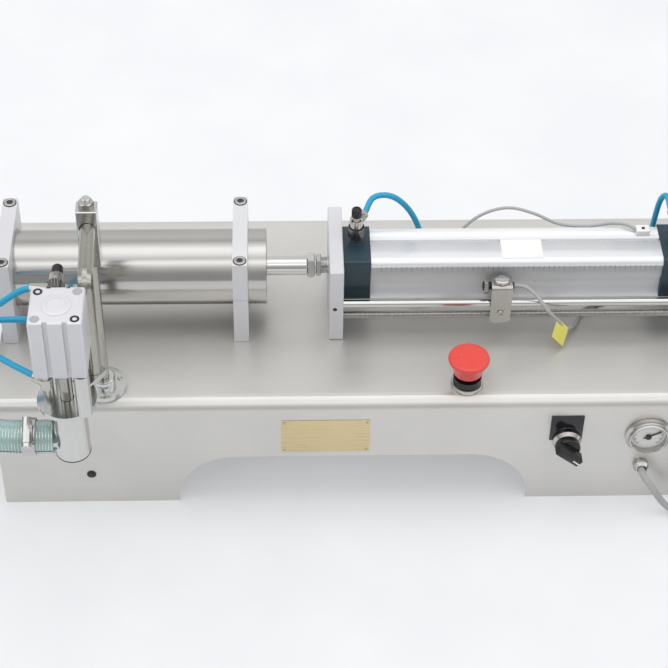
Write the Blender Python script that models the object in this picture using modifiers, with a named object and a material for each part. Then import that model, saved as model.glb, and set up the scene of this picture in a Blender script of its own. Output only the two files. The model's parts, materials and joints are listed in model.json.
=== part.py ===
"""Piston liquid filler: a bench machine that draws a measured dose into a cylinder and pushes it to a nozzle.

A folded steel base carries the material cylinder on the left and the air cylinder that drives it on the
right. Both lie on one axis along X. A bracket on a post holds the nozzle in front of the base.
Units are metres, +Z is up and the operator stands at -Y. The scene is laid out from the base's front left
bottom corner, and the last step moves everything so that the origin is under the middle of the machine.
"""

import math

import bmesh
import bpy
from mathutils import Euler, Matrix, Vector
from mathutils.geometry import interpolate_bezier

GAP = 0.0003  # between faces that touch
RUN = 0.0004  # radial clearance of a sliding or turning fit

# Base
BASE_LENGTH = 0.700
BASE_DEPTH = 0.277
BASE_HEIGHT = 0.140
SHEET = 0.002
EDGE_RADIUS = 0.014
ARCH_LENGTH = 0.350
ARCH_HEIGHT = 0.065
ARCH_RADIUS = 0.058

# The common axis of both cylinders
AXIS_Y = 0.137
AXIS_HEIGHT = 0.056

# Material cylinder
TUBE_OUTER = 0.0760
TUBE_BORE = 0.0716
TUBE_LENGTH = 0.279
CLAMP_DEPTH = 0.102
CLAMP_HEIGHT = 0.102
CLAMP_WIDTH = 0.0145
CLAMP_1_X = 0.0042
CLAMP_2_X = 0.2322
TUBE_PAST_CLAMP = 0.0185
PISTON_LENGTH = 0.028
PISTON_ROD = 0.020
PISTON_FROM_TUBE_END = 0.0065
SEAL_WIDTH = 0.0045
SEAL_DEPTH = 0.0035
LOCK_NUT_FLATS = 0.022
LOCK_NUT_WIDTH = 0.008
HEAD_WALL = 0.005
HEAD_DISC = 0.012
HEAD_SKIRT = 0.012
HEAD_SPIGOT = 0.006
PORT_BORE = 0.020
PORT_WALL = 0.003

# Valve block with the two check valves
VALVE_WIDTH = 0.044
VALVE_LENGTH = 0.090
VALVE_X = -0.0620
VALVE_CHAMBER = 0.030
SEAT_BORE = 0.017
SEAT_WALL = 0.005
POPPET_DIAMETER = 0.023
POPPET_THICKNESS = 0.006
BARB_LENGTH = 0.034
BARB_OUTER = 0.0225
BARB_BORE = 0.017
BARB_FLANGE = 0.036

# Drive cylinder
PLATE_WIDTH = 0.0138
PLATE_DEPTH = 0.099
PLATE_HEIGHT = 0.090
PLATE_X = 0.3262
CAP_SIZE = 0.0535
CAP_LENGTH = 0.0267
BARREL_SIZE = 0.0520
BARREL_LENGTH = 0.2872
BARREL_BORE = 0.040
DRIVE_ROD = 0.016
DRIVE_PISTON_LENGTH = 0.026
CAP_CORNER = 0.003
CAP_BACK = 0.0290
CAP_BELOW = 0.0235
BARREL_BELOW = 0.0242

# Stroke adjuster on the plates' front edge
ROD_INSET = 0.0115
GUIDE_ROD = 0.008
GUIDE_ROD_HEIGHT = 0.0385
LEAD_SCREW = 0.008
LEAD_SCREW_HEIGHT = 0.0235
HANDWHEEL_DIAMETER = 0.030
HANDWHEEL_WIDTH = 0.014
CARRIAGE_X = 0.4955
CARRIAGE_WIDTH = 0.0205
BRACKET_SHEET = 0.0015
SENSOR_DIAMETER = 0.009
SENSOR_LENGTH = 0.0310

# Air fittings and tubes
AIR_TUBE = 0.006
FITTING_NECK = 0.0105
FITTING_BODY = 0.0130
FITTING_ARM = 0.0105
FITTING_NECK_LENGTH = 0.0090
FITTING_HULL = 0.0160
FITTING_HULL_Z = 0.0068
FITTING_HULL_LENGTH = 0.0110
FITTING_BODY_Z = 0.0172
FITTING_BODY_LENGTH = 0.0108
FITTING_TOP = 0.0305
LOWER_ARM_LENGTH = 0.0125
SOCKET_DEPTH = 0.0065
KNOB_DIAMETER = 0.0100
KNOB_HEIGHT = 0.0095

# Nozzle and its stand
NOZZLE_X = 0.0872
NOZZLE_Y = -0.0820
DISC_HEIGHT = 0.0985
DISC_DIAMETER = 0.054
DISC_THICKNESS = 0.0045
NOZZLE_TUBE = 0.0325
NOZZLE_WALL = 0.0025
NOZZLE_TUBE_LENGTH = 0.066
NOZZLE_SEAT = 0.018
STEM_DIAMETER = 0.012
PLUG_DIAMETER = 0.021
STANDOFF_DIAMETER = 0.014
STANDOFF_LENGTH = 0.0460
AIR_BLOCK = 0.047
AIR_BLOCK_HEIGHT = 0.0665
BLOCK_PORT_X = 0.0825
BLOCK_PORT_INSET = 0.014
LOWER_PORT = (0.0725, -0.0960, 0.2720)
LOWER_ARM_TURN = 145.0
BOLT_PITCH = 0.034
SIDE_PORT_HEIGHT = 0.0465
POST_X = 0.107
POST_Y = 0.026
POST_DIAMETER = 0.011
FLANGE_DIAMETER = 0.044
FLANGE_THICKNESS = 0.005
HUB_DIAMETER = 0.022
HUB_HEIGHT = 0.009
ARM_BLOCK_WIDTH = 0.019
ARM_BLOCK_DEPTH = 0.016
ARM_BLOCK_LOW = 0.1627
ARM_BLOCK_HIGH = 0.2290
ARM_DIAMETER = 0.014
ARM_HEIGHT = 0.2097
ARM_DROP_Y = -0.0508
ARM_DROP_X = 0.1090
ARM_BEND = 0.014

# Hose from the valve block to the nozzle
HOSE_OUTER = 0.031
HOSE_BORE = 0.025
CLAMP_SCREW_TURN = 62.0
HOSE_ROUTE = [
    (0.0815, -0.0820, 0.1865),
    (0.0300, -0.0820, 0.1868),
    (0.0000, -0.0760, 0.1875),
    (-0.0330, -0.0560, 0.1890),
    (-0.0550, -0.0240, 0.1910),
    (-0.0620, 0.0120, 0.1935),
    (-0.0620, 0.0480, 0.1955),
    (-0.0620, 0.0840, 0.1960),
]

# Controls on the deck and the front panel
ESTOP_X = 0.4592
ESTOP_Y = 0.0245
ESTOP_HEAD = 0.0400
ESTOP_RING = 0.0300
ESTOP_RING_TOP = 0.0120
ESTOP_TRAVEL = 0.0045
PANEL_BORE = 0.0220
SELECTOR_X = 0.5590
SELECTOR_Z = 0.0870
SELECTOR_RING = 0.0285
LEGEND_SHEET = 0.0015
GAUGE_X = 0.6393
GAUGE_Z = 0.0920
GAUGE_FLANGE = 0.0460
GAUGE_RIM = 0.0385
GAUGE_DEPTH = 0.0075
GLAND_X = 0.6370
GLAND_Z = 0.0490
CORD_DIAMETER = 0.0070

# Routes of the tubes and cords, as points that a smooth curve runs through
FRONT_AIR_ROUTE = [
    (0.3700, 0.1715, 0.2530),
    (0.3825, 0.1755, 0.2535),
    (0.3950, 0.1770, 0.2470),
    (0.4080, 0.1790, 0.2300),
    (0.4180, 0.1805, 0.2060),
    (0.4235, 0.1835, 0.1750),
    (0.4250, 0.1850, 0.1460),
    (0.4250, 0.1850, 0.1330),
]
REAR_AIR_ROUTE = [
    (0.6630, 0.1740, 0.2510),
    (0.6585, 0.1790, 0.2430),
    (0.6565, 0.1830, 0.2150),
    (0.6560, 0.1860, 0.1800),
    (0.6560, 0.1870, 0.1460),
    (0.6560, 0.1870, 0.1330),
]
UPPER_AIR_ROUTE = [
    (0.0470, -0.0480, 0.3330),
    (0.0300, -0.0500, 0.3210),
    (0.0060, -0.0500, 0.3050),
    (-0.0200, -0.0420, 0.2800),
    (-0.0330, -0.0200, 0.2350),
    (-0.0300, 0.0100, 0.1750),
    (-0.0240, 0.0360, 0.1250),
    (-0.0150, 0.0495, 0.1020),
    (-0.0050, 0.0520, 0.0962),
    (0.0070, 0.0520, 0.0960),
]
LOWER_AIR_ROUTE = [
    (0.0420, -0.0745, 0.2715),
    (0.0240, -0.0610, 0.2710),
    (0.0080, -0.0520, 0.2715),
    (-0.0040, -0.0430, 0.2740),
    (-0.0010, -0.0370, 0.2820),
    (0.0120, -0.0345, 0.2870),
    (0.0300, -0.0350, 0.2895),
    (0.0520, -0.0360, 0.2900),
    (0.0680, -0.0290, 0.2810),
    (0.0720, -0.0080, 0.2540),
    (0.0690, 0.0200, 0.2140),
    (0.0660, 0.0450, 0.1730),
    (0.0650, 0.0560, 0.1480),
    (0.0650, 0.0580, 0.1330),
]
SENSOR_CABLE = 0.0040
SENSOR_CABLE_ROUTE = [
    (0.5083, 0.1020, 0.1984),
    (0.5180, 0.1010, 0.1983),
    (0.5290, 0.0945, 0.1930),
    (0.5400, 0.0850, 0.1820),
    (0.5510, 0.0830, 0.1690),
    (0.5600, 0.0860, 0.1560),
    (0.5690, 0.0960, 0.1470),
    (0.5760, 0.1080, 0.1430),
    (0.5820, 0.1210, 0.1440),
    (0.5930, 0.1290, 0.1432),
    (0.6010, 0.1350, 0.1420),
    (0.6040, 0.1375, 0.1330),
]
CORD_ROUTE = [
    (0.6370, -0.0050, 0.0490),
    (0.6370, -0.0130, 0.0488),
    (0.6400, -0.0185, 0.0460),
    (0.6500, -0.0220, 0.0320),
    (0.6610, -0.0228, 0.0150),
    (0.6740, -0.0275, 0.0045),
    (0.6902, -0.0513, 0.0040),
]
COIL_X = 0.7420
COIL_Y = -0.0560
COIL_MEAN = 0.0780
COIL_TURNS_WIDE = 2
COIL_TURNS_HIGH = 3
COIL_ENTRY = -150.0
COIL_LEAD_IN = 0.0297
PLUG_ROUTE = [
    (0.7845, -0.0560, 0.0040),
    (0.7850, -0.0400, 0.0040),
    (0.7858, -0.0220, 0.0060),
    (0.7862, -0.0120, 0.0070),
    (0.7865, -0.0050, 0.0070),
]

DECK = BASE_HEIGHT
AXIS_Z = DECK + AXIS_HEIGHT
TUBE_LEFT = CLAMP_1_X - TUBE_PAST_CLAMP
TUBE_RIGHT = TUBE_LEFT + TUBE_LENGTH
PLATE_RIGHT = PLATE_X + PLATE_WIDTH
FRONT_CAP_X = PLATE_RIGHT + GAP
BARREL_X = FRONT_CAP_X + CAP_LENGTH + GAP
REAR_CAP_X = BARREL_X + BARREL_LENGTH + GAP
REAR_PLATE_X = REAR_CAP_X + CAP_LENGTH + GAP
ROD_Y = AXIS_Y - PLATE_DEPTH / 2 + ROD_INSET
CAP_TOP = AXIS_Z + CAP_SIZE / 2
DISC_TOP = DECK + DISC_HEIGHT
AIR_BLOCK_Z = DISC_TOP + STANDOFF_LENGTH + GAP
AIR_BLOCK_TOP = AIR_BLOCK_Z + AIR_BLOCK_HEIGHT
BLOCK_BACK = NOZZLE_Y + AIR_BLOCK / 2
PISTON_RIGHT = TUBE_RIGHT - PISTON_FROM_TUBE_END
FRONT_PORT = ((FRONT_CAP_X + 0.0130, AXIS_Y + 0.0065, CAP_TOP), "z", 60.0, 0.0229, 0.0150)
REAR_PORT = ((REAR_CAP_X + 0.0150, AXIS_Y + 0.0065, CAP_TOP), "z", 105.0, 0.0229, 0.0150)
NOZZLE_PORT = ((BLOCK_PORT_X, BLOCK_BACK, AIR_BLOCK_TOP - BLOCK_PORT_INSET), "y", 180.0, 0.0120, 0.0220)

for old in list(bpy.data.objects):
    bpy.data.objects.remove(old)

MACHINE = bpy.data.collections.new("piston_filler")
CUTTERS = bpy.data.collections.new("cutters")
bpy.context.scene.collection.children.link(MACHINE)
bpy.context.scene.collection.children.link(CUTTERS)
CUTTERS.hide_render = True

ORIGIN = bpy.data.objects.new("machine_origin", None)
MACHINE.objects.link(ORIGIN)
FINISHES = {}


def finish(name, colour, roughness, metallic=0.0, alpha=1.0):
    """A material with one Principled shader, made once for each name."""
    if name in FINISHES:
        return FINISHES[name]
    material = bpy.data.materials.new(name)
    material.use_nodes = True
    shader = material.node_tree.nodes["Principled BSDF"]
    shader.inputs["Base Color"].default_value = (*colour, 1.0)
    shader.inputs["Roughness"].default_value = roughness
    shader.inputs["Metallic"].default_value = metallic
    shader.inputs["Alpha"].default_value = alpha
    FINISHES[name] = material
    return material


STEEL = finish("brushed_steel", (0.56, 0.55, 0.53), 0.35, 1.0)
POLISHED = finish("polished_steel", (0.70, 0.70, 0.69), 0.14, 1.0)
WHITE_ALLOY = finish("white_anodised", (0.80, 0.80, 0.80), 0.45, 0.3)
BARREL_ALLOY = finish("barrel_alloy", (0.76, 0.77, 0.79), 0.3, 0.8)
CAP_BLUE = finish("cap_blue", (0.012, 0.035, 0.050), 0.45)
BLACK = finish("black_plastic", (0.012, 0.012, 0.013), 0.4)
RUBBER = finish("black_rubber", (0.02, 0.02, 0.02), 0.7)
NICKEL = finish("nickel", (0.62, 0.60, 0.56), 0.22, 1.0)
RED = finish("red_plastic", (0.72, 0.05, 0.035), 0.38)
AIR_BLUE = finish("air_tube_blue", (0.01, 0.38, 0.66), 0.3)
HOSE_CLEAR = finish("hose_pvc", (0.50, 0.68, 0.66), 0.2, 0.0, 0.7)
GREY_CORD = finish("grey_cord", (0.28, 0.28, 0.27), 0.55)
SEAL_WHITE = finish("seal_ptfe", (0.85, 0.85, 0.82), 0.5)


def keep(obj, material=None, parent=None, cutter=False):
    """Puts an object in its collection, under its parent, with its material."""
    collection = CUTTERS if cutter else MACHINE
    collection.objects.link(obj)
    if cutter:
        obj.hide_render = True
        obj.display_type = "WIRE"
    if material is not None:
        obj.data.materials.append(material)
    obj.parent = parent or ORIGIN
    return obj


def object_from(name, bm, location, rotation=None):
    mesh = bpy.data.meshes.new(name)
    bm.to_mesh(mesh)
    bm.free()
    obj = bpy.data.objects.new(name, mesh)
    obj.location = location
    if rotation is not None:
        obj.rotation_euler = rotation
    return obj


def box(name, low, high, bevel=0.0, segments=2):
    """A box between two corners, with its origin at its centre."""
    low = Vector(low)
    high = Vector(high)
    bm = bmesh.new()
    bmesh.ops.create_cube(bm, size=1.0)
    bmesh.ops.scale(bm, vec=high - low, verts=bm.verts)
    obj = object_from(name, bm, (low + high) / 2)
    if bevel:
        edge = obj.modifiers.new("edges", "BEVEL")
        edge.width = bevel
        edge.segments = segments
        edge.limit_method = "ANGLE"
    return obj


AXES = {"x": (0.0, math.pi / 2, 0.0), "y": (-math.pi / 2, 0.0, 0.0), "z": (0.0, 0.0, 0.0)}


def rod(name, start, length, diameter, axis="z", segments=24, far_diameter=None):
    """A cylinder or cone that begins at start and runs along +axis."""
    bm = bmesh.new()
    far = diameter if far_diameter is None else far_diameter
    bmesh.ops.create_cone(
        bm, cap_ends=True, segments=segments, radius1=diameter / 2, radius2=far / 2, depth=length
    )
    bmesh.ops.translate(bm, vec=(0.0, 0.0, length / 2), verts=bm.verts)
    return object_from(name, bm, start, AXES[axis])


def turned(name, profile, location, axis="z", steps=24):
    """A turned solid. Each profile point is (radius, height), down the outside from the top."""
    bm = bmesh.new()
    points = [bm.verts.new((radius, 0.0, height)) for radius, height in profile]
    for first, second in zip(points, points[1:]):
        bm.edges.new((first, second))
    closed = profile[0][0] > 0 or profile[-1][0] > 0
    if closed:
        bm.edges.new((points[-1], points[0]))
    obj = object_from(name, bm, location, AXES[axis])
    screw = obj.modifiers.new("turn", "SCREW")
    screw.steps = steps
    screw.render_steps = steps
    screw.use_merge_vertices = True
    screw.merge_threshold = 0.00005
    screw.use_smooth_shade = False
    return obj


def ring(name, location, length, outer, inner, axis="z", steps=32):
    """A plain sleeve that begins at location and runs along +axis."""
    profile = [(outer / 2, length), (outer / 2, 0.0), (inner / 2, 0.0), (inner / 2, length)]
    return turned(name, profile, location, axis, steps)


def prism(name, outline, location, thickness, rotation, holes=()):
    """A flat outline with its holes, extruded by half its thickness to each side."""
    flat = bpy.data.curves.new(name, "CURVE")
    flat.dimensions = "2D"
    flat.fill_mode = "BOTH"
    flat.extrude = thickness / 2
    for loop in (outline, *holes):
        spline = flat.splines.new("POLY")
        spline.points.add(len(loop) - 1)
        for point, (across, up) in zip(spline.points, loop):
            point.co = (across, up, 0.0, 1.0)
        spline.use_cyclic_u = True
    obj = bpy.data.objects.new(name, flat)
    obj.location = location
    obj.rotation_euler = rotation
    return solid_from(obj)


def solid_from(curve_object):
    """The curve's solid as a mesh object, with its caps joined to its sides."""
    bpy.context.scene.collection.objects.link(curve_object)
    bpy.context.view_layer.update()
    graph = bpy.context.evaluated_depsgraph_get()
    mesh = bpy.data.meshes.new_from_object(curve_object.evaluated_get(graph))
    bm = bmesh.new()
    bm.from_mesh(mesh)
    bmesh.ops.remove_doubles(bm, verts=bm.verts, dist=0.000002)
    bm.to_mesh(mesh)
    bm.free()
    obj = bpy.data.objects.new(curve_object.name, mesh)
    obj.matrix_world = curve_object.matrix_world.copy()
    name = curve_object.name
    bpy.data.objects.remove(curve_object)
    obj.name = name
    return obj


def arc(centre_x, centre_y, radius, start, end, count):
    """Points on an arc, with the angles in degrees."""
    turns = [math.radians(start + (end - start) * i / count) for i in range(count + 1)]
    return [(centre_x + radius * math.cos(t), centre_y + radius * math.sin(t)) for t in turns]


def circle(centre_x, centre_y, diameter, count=24):
    return arc(centre_x, centre_y, diameter / 2, 0.0, 360.0, count)[:-1]


def smooth_points(route, spacing):
    """Points on a smooth curve that runs through the route, at most about one spacing apart."""
    points = [Vector(p) for p in route]
    chosen = [points[0]]
    for i in range(len(points) - 1):
        before = points[max(i - 1, 0)]
        after = points[min(i + 2, len(points) - 1)]
        first = points[i] + (points[i + 1] - before) / 6
        second = points[i + 1] - (after - points[i]) / 6
        steps = max(1, round((points[i + 1] - points[i]).length / spacing))
        chosen += interpolate_bezier(points[i], first, second, points[i + 1], steps + 1)[1:]
    return chosen


def round_curve(name, points, diameter, resolution):
    """A curve object with a round section and filled ends."""
    line = bpy.data.curves.new(name, "CURVE")
    line.dimensions = "3D"
    line.bevel_depth = diameter / 2
    line.bevel_resolution = resolution
    line.use_fill_caps = True
    spline = line.splines.new("POLY")
    spline.points.add(len(points) - 1)
    for point, place in zip(spline.points, points):
        point.co = (*place, 1.0)
    return bpy.data.objects.new(name, line)


def curve_solid(name, points, diameter, resolution):
    return solid_from(round_curve(name, points, diameter, resolution))


def tube(name, route, diameter, material, spacing=2.5, resolution=2):
    """A round tube or cord on a smooth curve through its route."""
    points = smooth_points(route, spacing * diameter)
    return keep(round_curve(name, points, diameter, resolution), material)


def boolean(obj, others, operation, parent=None):
    for other in others:
        if other.name not in CUTTERS.objects:
            keep(other, parent=parent, cutter=True)
        step = obj.modifiers.new(other.name, "BOOLEAN")
        step.operation = operation
        step.solver = "EXACT"
        step.object = other


def made(obj, material, add=(), cut=(), parent=None):
    """Finishes a piece: joins what is added, cuts what is cut, and gives it a material."""
    boolean(obj, add, "UNION", parent)
    boolean(obj, cut, "DIFFERENCE", parent)
    return keep(obj, material, parent)


FACING_X = (math.pi / 2, 0.0, math.pi / 2)
FACING_Y = (math.pi / 2, 0.0, 0.0)


def bore(name, start, length, diameter, axis="z", segments=24):
    return rod(name, start, length, diameter, axis, segments)


def make_base():
    """The folded cover, open below, with an arch in its front and rear walls."""
    shell = box("base_cover", (0, 0, 0), (BASE_LENGTH, BASE_DEPTH, BASE_HEIGHT), EDGE_RADIUS, 6)
    shell.modifiers["edges"].limit_method = "WEIGHT"
    weights = shell.data.attributes.new("bevel_weight_edge", "FLOAT", "EDGE")
    for edge in shell.data.edges:
        ends = [shell.data.vertices[i].co for i in edge.vertices]
        on_top = all(end.z > 0 for end in ends)
        along_x = abs(ends[0].x - ends[1].x) > 0.01
        weights.data[edge.index].value = 1.0 if on_top and along_x else 0.0
    inside = box(
        "base_inside",
        (SHEET, SHEET, -SHEET),
        (BASE_LENGTH - SHEET, BASE_DEPTH - SHEET, BASE_HEIGHT - SHEET),
    )
    inner_radius = EDGE_RADIUS - SHEET
    edge = inside.modifiers.new("edges", "BEVEL")
    edge.width = inner_radius
    edge.segments = 6
    edge.limit_method = "WEIGHT"
    weights = inside.data.attributes.new("bevel_weight_edge", "FLOAT", "EDGE")
    for line in inside.data.edges:
        ends = [inside.data.vertices[i].co for i in line.vertices]
        on_top = all(end.z > 0 for end in ends)
        along_x = abs(ends[0].x - ends[1].x) > 0.01
        weights.data[line.index].value = 1.0 if on_top and along_x else 0.0
    half = ARCH_LENGTH / 2
    flat = half - ARCH_RADIUS
    low = -ARCH_RADIUS - SHEET
    top = ARCH_HEIGHT - ARCH_RADIUS
    outline = [(-half, low), (half, low)]
    outline += arc(flat, top, ARCH_RADIUS, 0.0, 90.0, 8)
    outline += arc(-flat, top, ARCH_RADIUS, 90.0, 180.0, 8)
    middle = (BASE_LENGTH / 2, BASE_DEPTH / 2, 0.0)
    arch = prism("base_arch", outline, middle, BASE_DEPTH + 4 * SHEET, FACING_Y)
    deep = -2 * SHEET
    wall = 6 * SHEET
    holes = [
        bore("estop_hole", (ESTOP_X, ESTOP_Y, DECK - 4 * SHEET), wall, PANEL_BORE + 2 * RUN),
        bore("selector_hole", (SELECTOR_X, deep, SELECTOR_Z), wall, PANEL_BORE + 2 * RUN, "y"),
        bore("gauge_hole", (GAUGE_X, deep, GAUGE_Z), wall, GAUGE_RIM - 0.003 + 2 * RUN, "y"),
        bore("gland_hole", (GLAND_X, deep, GLAND_Z), wall, 0.012 + 2 * RUN, "y", 16),
    ]
    deck_routes = {"front_air": FRONT_AIR_ROUTE, "rear_air": REAR_AIR_ROUTE, "lower_air": LOWER_AIR_ROUTE}
    for name, route in deck_routes.items():
        x, y, z = route[-1]
        holes.append(bore(name + "_hole", (x, y, DECK - 4 * SHEET), wall, AIR_TUBE + 0.003, "z", 12))
    x, y, z = SENSOR_CABLE_ROUTE[-1]
    holes.append(bore("sensor_hole", (x, y, DECK - 4 * SHEET), wall, SENSOR_CABLE + 0.008, "z", 12))
    x, y, z = UPPER_AIR_ROUTE[-1]
    holes.append(bore("upper_air_hole", (deep, y, z), wall, AIR_TUBE + 0.003, "x", 12))
    made(shell, STEEL, cut=[inside, arch, *holes])


def make_clamp(number, left):
    """A split block round the material tube: its lower half stands on the deck."""
    front = AXIS_Y - CLAMP_DEPTH / 2
    back = AXIS_Y + CLAMP_DEPTH / 2
    right = left + CLAMP_WIDTH
    bottom = DECK + GAP
    lower = box(f"clamp_{number}_lower", (left, front, bottom), (right, back, AXIS_Z - GAP / 2))
    upper = box(f"clamp_{number}_upper", (left, front, AXIS_Z + GAP / 2), (right, back, DECK + CLAMP_HEIGHT))
    through = (left - 0.01, AXIS_Y, AXIS_Z)
    tube_bore = TUBE_OUTER + 2 * GAP
    for half, word in ((lower, "lower"), (upper, "upper")):
        hole = bore(f"clamp_{number}_{word}_bore", through, CLAMP_WIDTH + 0.02, tube_bore, "x", 48)
        made(half, WHITE_ALLOY, cut=[hole])


def make_material_cylinder():
    sleeve = ring("material_tube", (TUBE_LEFT, AXIS_Y, AXIS_Z), TUBE_LENGTH, TUBE_OUTER, TUBE_BORE, "x", 48)
    keep(sleeve, STEEL)
    outer = TUBE_OUTER / 2 + GAP + HEAD_WALL
    inner = TUBE_OUTER / 2 + GAP
    spigot = TUBE_BORE / 2 - GAP
    port = PORT_BORE / 2
    neck = port + PORT_WALL
    neck_end = VALVE_X + VALVE_WIDTH / 2 + GAP - TUBE_LEFT
    profile = [
        (outer, HEAD_SKIRT),
        (outer, -HEAD_DISC),
        (neck, -HEAD_DISC),
        (neck, neck_end),
        (port, neck_end),
        (port, HEAD_SPIGOT),
        (spigot, HEAD_SPIGOT),
        (spigot, -GAP),
        (inner, -GAP),
        (inner, HEAD_SKIRT),
    ]
    keep(turned("cylinder_head", profile, (TUBE_LEFT, AXIS_Y, AXIS_Z), "x", 32), STEEL)


def make_ram():
    """Everything that one stroke moves: the material piston, both rods and the air piston."""
    ram = bpy.data.objects.new("ram_axis", None)
    ram.location = (PISTON_RIGHT, AXIS_Y, AXIS_Z)
    MACHINE.objects.link(ram)
    ram.parent = ORIGIN
    body = TUBE_BORE / 2 - RUN
    groove = body - SEAL_DEPTH
    middle = -PISTON_LENGTH / 2
    half = SEAL_WIDTH / 2 + GAP
    profile = [
        (0.0, 0.0),
        (body, 0.0),
        (body, middle + half),
        (groove, middle + half),
        (groove, middle - half),
        (body, middle - half),
        (body, -PISTON_LENGTH),
        (0.0, -PISTON_LENGTH),
    ]
    keep(turned("material_piston", profile, (0, 0, 0), "x", 28), POLISHED, ram)
    seal_outer = TUBE_BORE / 2 - GAP / 2
    seal_inner = groove + GAP
    start = (middle - SEAL_WIDTH / 2, 0, 0)
    keep(ring("piston_seal", start, SEAL_WIDTH, 2 * seal_outer, 2 * seal_inner, "x", 28), SEAL_WHITE, ram)
    nut_x = PLATE_X - 0.0215 - PISTON_RIGHT
    length = nut_x - GAP - GAP
    keep(rod("piston_rod", (GAP, 0, 0), length, PISTON_ROD, "x"), POLISHED, ram)
    nut = rod("lock_nut", (nut_x, 0, 0), LOCK_NUT_WIDTH, LOCK_NUT_FLATS / math.cos(math.pi / 6), "x", 6)
    made(nut, NICKEL, parent=ram)
    rod_x = nut_x + LOCK_NUT_WIDTH + GAP
    piston_x = BARREL_X + BARREL_LENGTH - DRIVE_PISTON_LENGTH - 0.004 - PISTON_RIGHT
    thin = DRIVE_ROD / 2
    wide = BARREL_BORE / 2 - RUN
    end = piston_x + DRIVE_PISTON_LENGTH
    profile = [(0.0, end), (wide, end), (wide, piston_x), (thin, piston_x), (thin, rod_x), (0.0, rod_x)]
    keep(turned("drive_rod", profile, (0, 0, 0), "x", 28), POLISHED, ram)


def make_valve_block():
    """A block with a check valve at each end: the rear one lets liquid in, the front one lets it out."""
    half = VALVE_WIDTH / 2
    front = AXIS_Y - VALVE_LENGTH / 2
    back = AXIS_Y + VALVE_LENGTH / 2
    low = (VALVE_X - half, front, AXIS_Z - half)
    block = box("valve_block", low, (VALVE_X + half, back, AXIS_Z + half), 0.003)
    chamber = VALVE_LENGTH - 2 * SEAT_WALL
    seat = 2 * SEAT_WALL
    cuts = [
        bore("valve_side_port", (VALVE_X, AXIS_Y, AXIS_Z), VALVE_WIDTH, PORT_BORE, "x"),
        bore("valve_through", (VALVE_X, front - seat, AXIS_Z), VALVE_LENGTH + 2 * seat, SEAT_BORE, "y"),
        bore("valve_chamber", (VALVE_X, front + SEAT_WALL, AXIS_Z), chamber, VALVE_CHAMBER, "y"),
    ]
    web_low = (VALVE_X - half + 0.001, AXIS_Y - 0.016 - SEAT_WALL, AXIS_Z - half + 0.001)
    web_high = (VALVE_X + half - 0.001, AXIS_Y - 0.016, AXIS_Z + half - 0.001)
    web = box("outlet_seat", web_low, web_high)
    hole = bore("outlet_seat_bore", (VALVE_X, AXIS_Y - 0.040, AXIS_Z), 0.060, SEAT_BORE, "y")
    boolean(block, cuts, "DIFFERENCE")
    boolean(block, [web], "UNION")
    made(block, STEEL, cut=[hole])
    make_poppet("outlet_valve", AXIS_Y - 0.016 - SEAT_WALL - GAP)
    make_poppet("inlet_valve", back - SEAT_WALL - GAP)
    make_barb("outlet_barb", front - GAP, -1)
    make_barb("inlet_barb", back + GAP, 1)


def make_poppet(name, seat):
    """A disc that shuts its seat, with a guide stem through the seat's bore."""
    radius = POPPET_DIAMETER / 2
    stem = SEAT_BORE / 2 - 0.004
    profile = [
        (0.0, SEAT_WALL),
        (stem, SEAT_WALL),
        (stem, 0.0),
        (radius, 0.0),
        (radius, -POPPET_THICKNESS / 2),
        (stem, -POPPET_THICKNESS),
        (0.0, -POPPET_THICKNESS),
    ]
    keep(turned(name, profile, (VALVE_X, seat, AXIS_Z), "y", 20), SEAL_WHITE)


def make_barb(name, seat, side):
    """A flanged hose tail, ribbed where the hose grips."""
    flange = BARB_FLANGE / 2
    outer = BARB_OUTER / 2
    inner = BARB_BORE / 2
    neck = outer - 0.0015
    profile = [(inner, 0.0), (flange, 0.0), (flange, 0.005), (neck, 0.005), (neck, 0.010)]
    rib = 0.008
    height = 0.010
    while height + rib <= BARB_LENGTH:
        profile += [(outer, height), (neck, height + rib)]
        height += rib
    profile += [(inner, height)]
    if side > 0:
        profile = list(reversed(profile))
    else:
        profile = [(r, -h) for r, h in profile]
    keep(turned(name, profile, (VALVE_X, seat, AXIS_Z), "y", 16), POLISHED)


def make_plates():
    front = AXIS_Y - PLATE_DEPTH / 2
    back = AXIS_Y + PLATE_DEPTH / 2
    for name, left in (("drive_plate", PLATE_X), ("rear_plate", REAR_PLATE_X)):
        plate = box(name, (left, front, DECK + GAP), (left + PLATE_WIDTH, back, DECK + PLATE_HEIGHT), 0.0008, 1)
        past = left - 0.01
        through = PLATE_WIDTH + 0.02
        guide = bore(
            name + "_guide_bore", (past, ROD_Y, DECK + GUIDE_ROD_HEIGHT), through, GUIDE_ROD + 2 * GAP, "x", 16
        )
        screw = bore(
            name + "_screw_bore", (past, ROD_Y, DECK + LEAD_SCREW_HEIGHT), through, LEAD_SCREW + 2 * RUN, "x", 16
        )
        cuts = [guide, screw]
        if name == "drive_plate":
            cuts.append(bore("drive_rod_bore", (past, AXIS_Y, AXIS_Z), through, DRIVE_ROD + 0.004, "x"))
        made(plate, WHITE_ALLOY, cut=cuts)


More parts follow.
